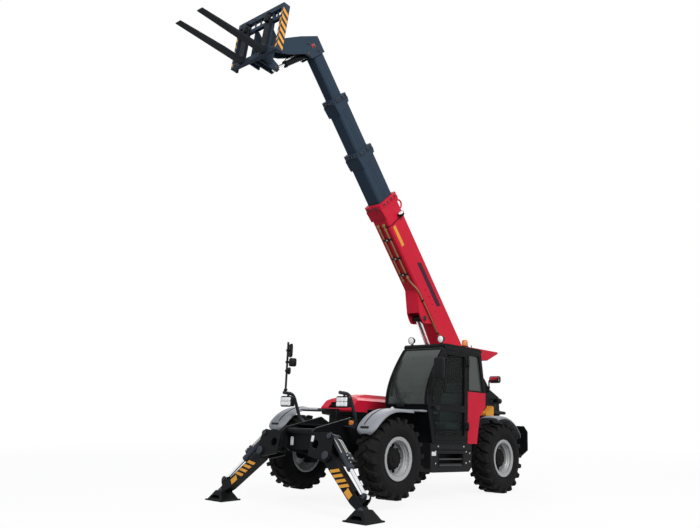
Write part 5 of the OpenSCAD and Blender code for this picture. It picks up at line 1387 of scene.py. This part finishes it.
class TELEHANDLER_OT_fenders(bpy.types.Operator):
    """Makes the crowned fenders with rounded tips and their brackets"""

    bl_idname = "telehandler.fenders"
    bl_label = "Fenders"

    def execute(self, context):
        front = [self.fender(WHEELBASE, side * FENDER_MIDDLE, 30.0, 90.0, 0.330, True) for side in BOTH]
        rear = [self.fender(0.0, side * FENDER_MIDDLE, 72.0, 150.0, 0.0, False) for side in BOTH]
        front = piece("front_fender_shells", joined(*front), "chassis", "fender_plastic")
        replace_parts(front, "front_fenders")
        rear = piece("rear_fender_shells", joined(*rear), "chassis", "fender_plastic")
        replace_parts(rear, "rear_fenders")
        bars, slots = [], []
        t = np.radians(36.5)
        turn = np.radians(np.linspace(41.0, 104.0, 22))
        for side in BOTH:
            for x, low in ((2.860, 0.890), (-0.100, 0.950)):
                bars.append(block(at(x, side * 0.585, 1.363), (0.080, 0.460, 0.022), UP, FORWARD, 0.005))
                bars.append(block(at(x, side * 0.358, (low + 1.374) / 2), (0.080, 0.016, 1.374 - low), UP, FORWARD,
                                  0.004))
            bars.append(tube(at((2.860, 2.930, 3.300), side * np.array((0.40, 0.70, 0.84)), (1.352, 1.330, 1.325)),
                             0.016, 10))
            slots.append(tube(at(WHEELBASE + 0.7615 * np.cos(turn), side * 0.970, AXLE_HEIGHT + 0.7615 * np.sin(turn)),
                              0.0075, 8, 0.0))
            tip = at(WHEELBASE + 0.770 * np.cos(t), side * FENDER_MIDDLE, AXLE_HEIGHT + 0.770 * np.sin(t))
            slots.append(block(tip, (0.170, 0.036, 0.014), np.cos(t) * FORWARD + np.sin(t) * UP, Y_AXIS, 0.006, 0.017))
        piece("fender_brackets", joined(*bars), "chassis", "black_paint")
        piece("fender_slots", joined(*slots), "chassis", "dark_plastic")
        return {"FINISHED"}

    def fender(self, x, y, first, last, flat, tipped):
        """A moulded shell along an arc about the wheel and a flat run behind it. Across it the height falls off as
        the eighth power of the place, which makes the lips, and a narrow groove runs beside the middle. At a rounded
        tip the width grows as a quarter circle of the way from the tip."""
        radius, wall, half = 0.762, 0.012, 0.205
        turn = np.radians(np.linspace(first, last, 40))
        px, pz = radius * np.cos(turn), radius * np.sin(turn)
        nx, nz = np.cos(turn), np.sin(turn)
        if flat:
            back = np.linspace(0, flat, 10)[1:]
            px, pz = np.append(px, -back), np.append(pz, np.full_like(back, radius))
            nx, nz = np.append(nx, np.zeros_like(back)), np.append(nz, np.ones_like(back))
        way = np.concatenate([[0], np.cumsum(np.hypot(np.diff(px), np.diff(pz)))])
        if tipped:
            width = half * (0.42 + 0.58 * np.sqrt(1 - (1 - np.clip(way / 0.190, 0, 1)) ** 2))
        else:
            width = half * (0.72 + 0.28 * np.sqrt(1 - (1 - np.clip((way[-1] - way) / 0.120, 0, 1)) ** 2))
        v = np.linspace(-1, 1, 41)
        drop = 0.034 * np.abs(v) ** 8 + 0.008 * np.abs(v) ** 2 + 0.007 * np.exp(-((v + 0.22 * np.sign(y)) / 0.035) ** 2)
        dip = 0.030 * np.clip(1 - way / 0.060, 0, 1) ** 2 if tipped else np.zeros(len(way))
        outer, inner = (-(drop[None] + dip[:, None]) - step for step in (0.0, wall))
        across = np.broadcast_to(y + width[:, None] * v[None], outer.shape)
        grids = [at(x + px[:, None] + nx[:, None] * lift, across, AXLE_HEIGHT + pz[:, None] + nz[:, None] * lift)
                 for lift in (outer, inner)]
        return shell(*grids)


class TELEHANDLER_OT_body(bpy.types.Operator):
    """Makes the step treads, lid grille, latches, engine dressing and the pieces at the rear and below"""

    bl_idname = "telehandler.body"
    bl_label = "Body dressing"

    def execute(self, context):
        self.make_steps()
        self.make_engine()
        self.make_rear()
        self.make_underside()
        return {"FINISHED"}

    def make_steps(self):
        """A tread with a serrated edge in the step box, and the bolts, lips and frame of its panels."""
        teeth = [block(at(x, 1.118, 0.530), (0.016, 0.036, 0.020), UP, FORWARD, 0.003)
                 for x in np.arange(1.30, 1.95, 0.050)]
        tread = block(at(1.615, 1.060, 0.512), (0.680, 0.180, 0.022), UP, FORWARD, 0.005)
        rung = tube(at((1.272, 1.958), 1.128, 0.612), 0.014, 10)
        piece("step_tread", joined(tread, rung, *teeth), "chassis", "zinc_dark")
        heads = bolts(at((2.06, 1.17, 2.06, 1.17, 1.06, 1.06, 1.24, 1.99), 1.150,
                         (0.735, 0.735, 0.545, 0.545, 0.710, 0.570, 0.820, 0.820)), Y_AXIS, 0.016)
        piece("step_bolts", heads, "chassis", "zinc_steel")
        lips = [block(at(1.600, 1.152, z), (1.080, 0.016, 0.010), Y_AXIS, FORWARD, 0.004) for z in (0.774, 0.862)]
        piece("step_lips", joined(*lips), "chassis", "black_paint")
        pocket = hoop(at((1.262, 1.968, 1.968, 1.262), 1.151, (0.492, 0.492, 0.708, 0.708)), 0.008)
        piece("step_frame", pocket, "chassis", "black_paint")

    def make_engine(self):
        """Slats and latches of the lid, the bay's bolts, and the covers, filter and fan inside the bay."""
        lean = unit(UP - 0.4 * FORWARD)
        slats = [block(at(2.440 - 0.55 * (z - 1.41), -0.735, z), (0.430, 0.034, 0.008), lean, Y_AXIS, 0.003)
                 for z in np.arange(1.412, 1.505, 0.022)]
        piece("lid_slats", joined(*slats), "engine_lid", "dark_plastic")
        latches = [block(at(x, -1.124, 1.375), (0.090, 0.040, 0.016), -Y_AXIS, FORWARD, 0.005) for x in (1.20, 2.10)]
        piece("lid_latches", joined(*latches), "engine_lid", "bolt_black")
        heads = bolts(at(np.linspace(0.98, 2.20, 8), -1.120, 1.290), -Y_AXIS, 0.018)
        rows = bolts(at(np.linspace(1.0, 2.18, 6), -1.120, 0.600), -Y_AXIS, 0.018)
        piece("bay_bolts", joined(heads, rows), "chassis", "bolt_black")
        cover = block(at(1.500, -0.750, 1.246), (0.640, 0.260, 0.070), UP, FORWARD, 0.030, 0.050)
        sump = block(at(1.500, -0.985, 0.780), (0.560, 0.420, 0.030), -Y_AXIS, FORWARD, 0.010)
        piece("engine_covers", joined(cover, sump), "chassis", "engine_iron")
        can = lathe(((0.060, -0.210), (0.095, -0.205), (0.100, -0.190), (0.100, 0.150), (0.104, 0.152), (0.104, 0.176),
                     (0.080, 0.190), (0.030, 0.195)), at(1.720, -0.450, 1.190), FORWARD, 36)
        hose = at((1.60, 1.60, 1.48, 1.44), (-0.44, -0.44, -0.50, -0.62), (1.20, 1.286, 1.286, 1.266))
        piece("air_filter", joined(can, tube(hose, 0.034, 14, 0.05)), "chassis", "dark_plastic")
        middle = at(2.060, -0.750, 0.780)
        blades = []
        for t in np.arange(7) * 2 * np.pi / 7:
            axes = (FORWARD, np.cos(t) * Y_AXIS + np.sin(t) * UP, np.cos(t) * UP - np.sin(t) * Y_AXIS)
            outline = spread(middle, axes, (-0.020, 0.020, 0.024, -0.024), (0.050, 0.050, 0.230, 0.230),
                             (-0.030, 0.030, 0.045, -0.045))
            blades.append(slab(outline, FORWARD, 0.006))
        hub = lathe(((0.060, -0.055), (0.070, -0.050), (0.070, 0.020), (0.050, 0.034), (0.020, 0.036)), middle,
                    FORWARD, 28)
        piece("engine_fan", joined(hub, *blades), "chassis", "dark_plastic")

    def make_rear(self):
        """The towing pin, lamp bezels, wheel chock, stowed bar, rear work lamp and the bolts of the frame."""
        pin = lathe(((0.012, 0), (0.017, 0.006), (0.017, 0.185), (0.030, 0.187), (0.030, 0.200), (0.012, 0.204)),
                    at(-1.342, 0.0, 0.610), UP, 24)
        loop = np.linspace(0, np.pi, 9)
        grip = tube(at(-1.342, 0.036 * np.cos(loop), 0.806 + 0.040 * np.sin(loop)), 0.006, 8, 0.0)
        piece("tow_pin", joined(pin, grip), "chassis", "zinc_steel")
        bezels = []
        for side in BOTH:
            edge = rounded(0.206, 0.106, 0.016)
            bezels.append(hoop(at(-1.334, side * 0.760 + edge[:, 0], 1.060 + edge[:, 1]), 0.008))
            bezels += [block(at(-1.338, side * (0.760 + d), 1.060), (0.006, 0.094, 0.008), -FORWARD, Y_AXIS, 0.002)
                       for d in (-0.034, 0.034)]
        piece("rear_lamp_bezels", joined(*bezels), "chassis", "dark_plastic")
        wedge = np.array([(-0.480, 1.402), (-0.760, 1.402), (-0.760, 1.570), (-0.720, 1.600), (-0.680, 1.560),
                          (-0.600, 1.500), (-0.520, 1.480), (-0.480, 1.450)])
        chocks = [slab(at(wedge[:, 0], y, wedge[:, 1]), Y_AXIS, 0.024) for y in (0.390, 0.440, 0.490)]
        chocks.append(block(at(-0.620, 0.452, 1.424), (0.270, 0.120, 0.040), UP, FORWARD, 0.006))
        piece("wheel_chock", joined(*chocks), "chassis", "stripe_yellow", "lamp_amber")
        shelf = joined(block(at(-0.620, 0.440, 1.392), (0.320, 0.180, 0.018), UP, FORWARD, 0.004),
                       block(at(-0.620, 0.356, 1.440), (0.300, 0.014, 0.120), UP, FORWARD, 0.004))
        piece("chock_shelf", shelf, "chassis", "black_paint")
        bar = lathe(((0.024, 0), (0.034, 0.006), (0.034, 0.470), (0.030, 0.474), (0.030, 0.520), (0.020, 0.526)),
                    at(-0.840, 0.402, 1.480), -FORWARD, 28)
        clips = [block(at(x, 0.378, 1.480), (0.040, 0.060, 0.090), UP, FORWARD, 0.008) for x in (-0.920, -1.180)]
        piece("stowed_bar", joined(bar, *clips), "chassis", "black_paint", "ram_black")
        lamp = lathe(((0.020, -0.070), (0.044, -0.060), (0.054, -0.010), (0.056, 0.030), (0.056, 0.060),
                      (0.050, 0.062)), at(-1.080, 0.420, 1.720), unit(-FORWARD - 0.15 * UP), 32)
        foot = block(at(-1.075, 0.378, 1.720), (0.050, 0.062, 0.050), UP, FORWARD, 0.008)
        piece("rear_work_lamp", joined(lamp, foot), "chassis", "dark_plastic")
        heads = [bolts(at((-1.14, -1.06, -0.94, -0.80), side * 0.350, (0.80, 1.62, 1.70, 0.78)), side * Y_AXIS, 0.034)
                 for side in BOTH]
        heads += [bolts(ring(at(-0.420, side * 0.362, 2.000), side * Y_AXIS, 0.078, 4), side * Y_AXIS, 0.020)
                  for side in BOTH]
        heads.append(bolts(at(-1.3105, (-0.80, -0.45, 0.45, 0.80), 0.900), -FORWARD, 0.040))
        piece("frame_bolts", joined(*heads), "chassis", "bolt_black")

    def make_underside(self):
        """The drive shaft with its joints, the steering cylinders, and the bolts and king pin caps of the axles."""
        shaft = ((0.030, 0.20), (0.060, 0.205), (0.060, 0.235), (0.046, 0.245), (0.046, 0.330), (0.036, 0.345),
                 (0.036, 2.735), (0.046, 2.750), (0.046, 2.835), (0.060, 2.845), (0.060, 2.875), (0.030, 2.880))
        piece("drive_shaft", lathe(shaft, at(0.0, 0.0, 0.490), FORWARD, 28), "chassis", "cast_black")
        ram = ((0.030, -0.300), (0.046, -0.295), (0.046, 0.295), (0.030, 0.300))
        rod = ((0.012, -0.690), (0.020, -0.685), (0.020, 0.685), (0.012, 0.690))
        rams, rods, heads = [], [], []
        for x in (0.0, WHEELBASE):
            rams.append(lathe(ram, at(x - 0.150, 0.0, 0.560), Y_AXIS, 28))
            rods.append(lathe(rod, at(x - 0.150, 0.0, 0.560), Y_AXIS, 20))
            for side in BOTH:
                heads.append(bolts(ring(at(x, side * 0.150, AXLE_HEIGHT), side * Y_AXIS, 0.165, 12), side * Y_AXIS,
                                   0.020))
        piece("steering_rams", joined(*rams), "chassis", "cast_black", "ram_black")
        piece("steering_rods", joined(*rods), "chassis", "chrome_rod")
        piece("axle_bolts", joined(*heads), "chassis", "bolt_black")
        caps = [lathe(((0.052, 0), (0.052, 0.012), (0.044, 0.020), (0.016, 0.022)), at(x, side * 0.810, 0.791), UP, 24)
                for x in (0.0, WHEELBASE) for side in BOTH]
        piece("king_pin_caps", joined(*caps), "chassis", "cast_black")


class TELEHANDLER_PT_panel(bpy.types.Panel):
    """Lists the operators and properties of the telehandler"""

    bl_idname = "TELEHANDLER_PT_panel"
    bl_label = "Telehandler"
    bl_space_type = "VIEW_3D"
    bl_region_type = "UI"
    bl_category = "Telehandler"

    def draw(self, context):
        for group in ("telehandler_paint", "telehandler_sizes", "telehandler_stage"):
            box = self.layout.box()
            for key in getattr(context.scene, group).__annotations__:
                box.prop(getattr(context.scene, group), key)
        for operator in OPERATORS:
            self.layout.operator(operator.bl_idname)


GROUPS = {"telehandler_paint": TelehandlerPaint, "telehandler_sizes": TelehandlerSizes,
          "telehandler_stage": TelehandlerStage}
OPERATORS = (TELEHANDLER_OT_stage, TELEHANDLER_OT_finishes, TELEHANDLER_OT_wheels, TELEHANDLER_OT_boom_lines,
             TELEHANDLER_OT_head, TELEHANDLER_OT_lift, TELEHANDLER_OT_stabilisers, TELEHANDLER_OT_cab,
             TELEHANDLER_OT_seat, TELEHANDLER_OT_lamps, TELEHANDLER_OT_fenders, TELEHANDLER_OT_body)


def register():
    """Registers the classes and puts the property groups on the scene."""
    for name, group in GROUPS.items():
        bpy.utils.register_class(group)
        setattr(bpy.types.Scene, name, PointerProperty(type=group))
    for cls in (*OPERATORS, TELEHANDLER_PT_panel):
        bpy.utils.register_class(cls)


def unregister():
    """Takes the classes and the property groups off again."""
    for cls in (TELEHANDLER_PT_panel, *reversed(OPERATORS)):
        bpy.utils.unregister_class(cls)
    for name, group in GROUPS.items():
        delattr(bpy.types.Scene, name)
        bpy.utils.unregister_class(group)


def main():
    """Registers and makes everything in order."""
    register()
    for operator in OPERATORS:
        group, name = operator.bl_idname.split(".")
        getattr(getattr(bpy.ops, group), name)()


if __name__ == "__main__":
    main()
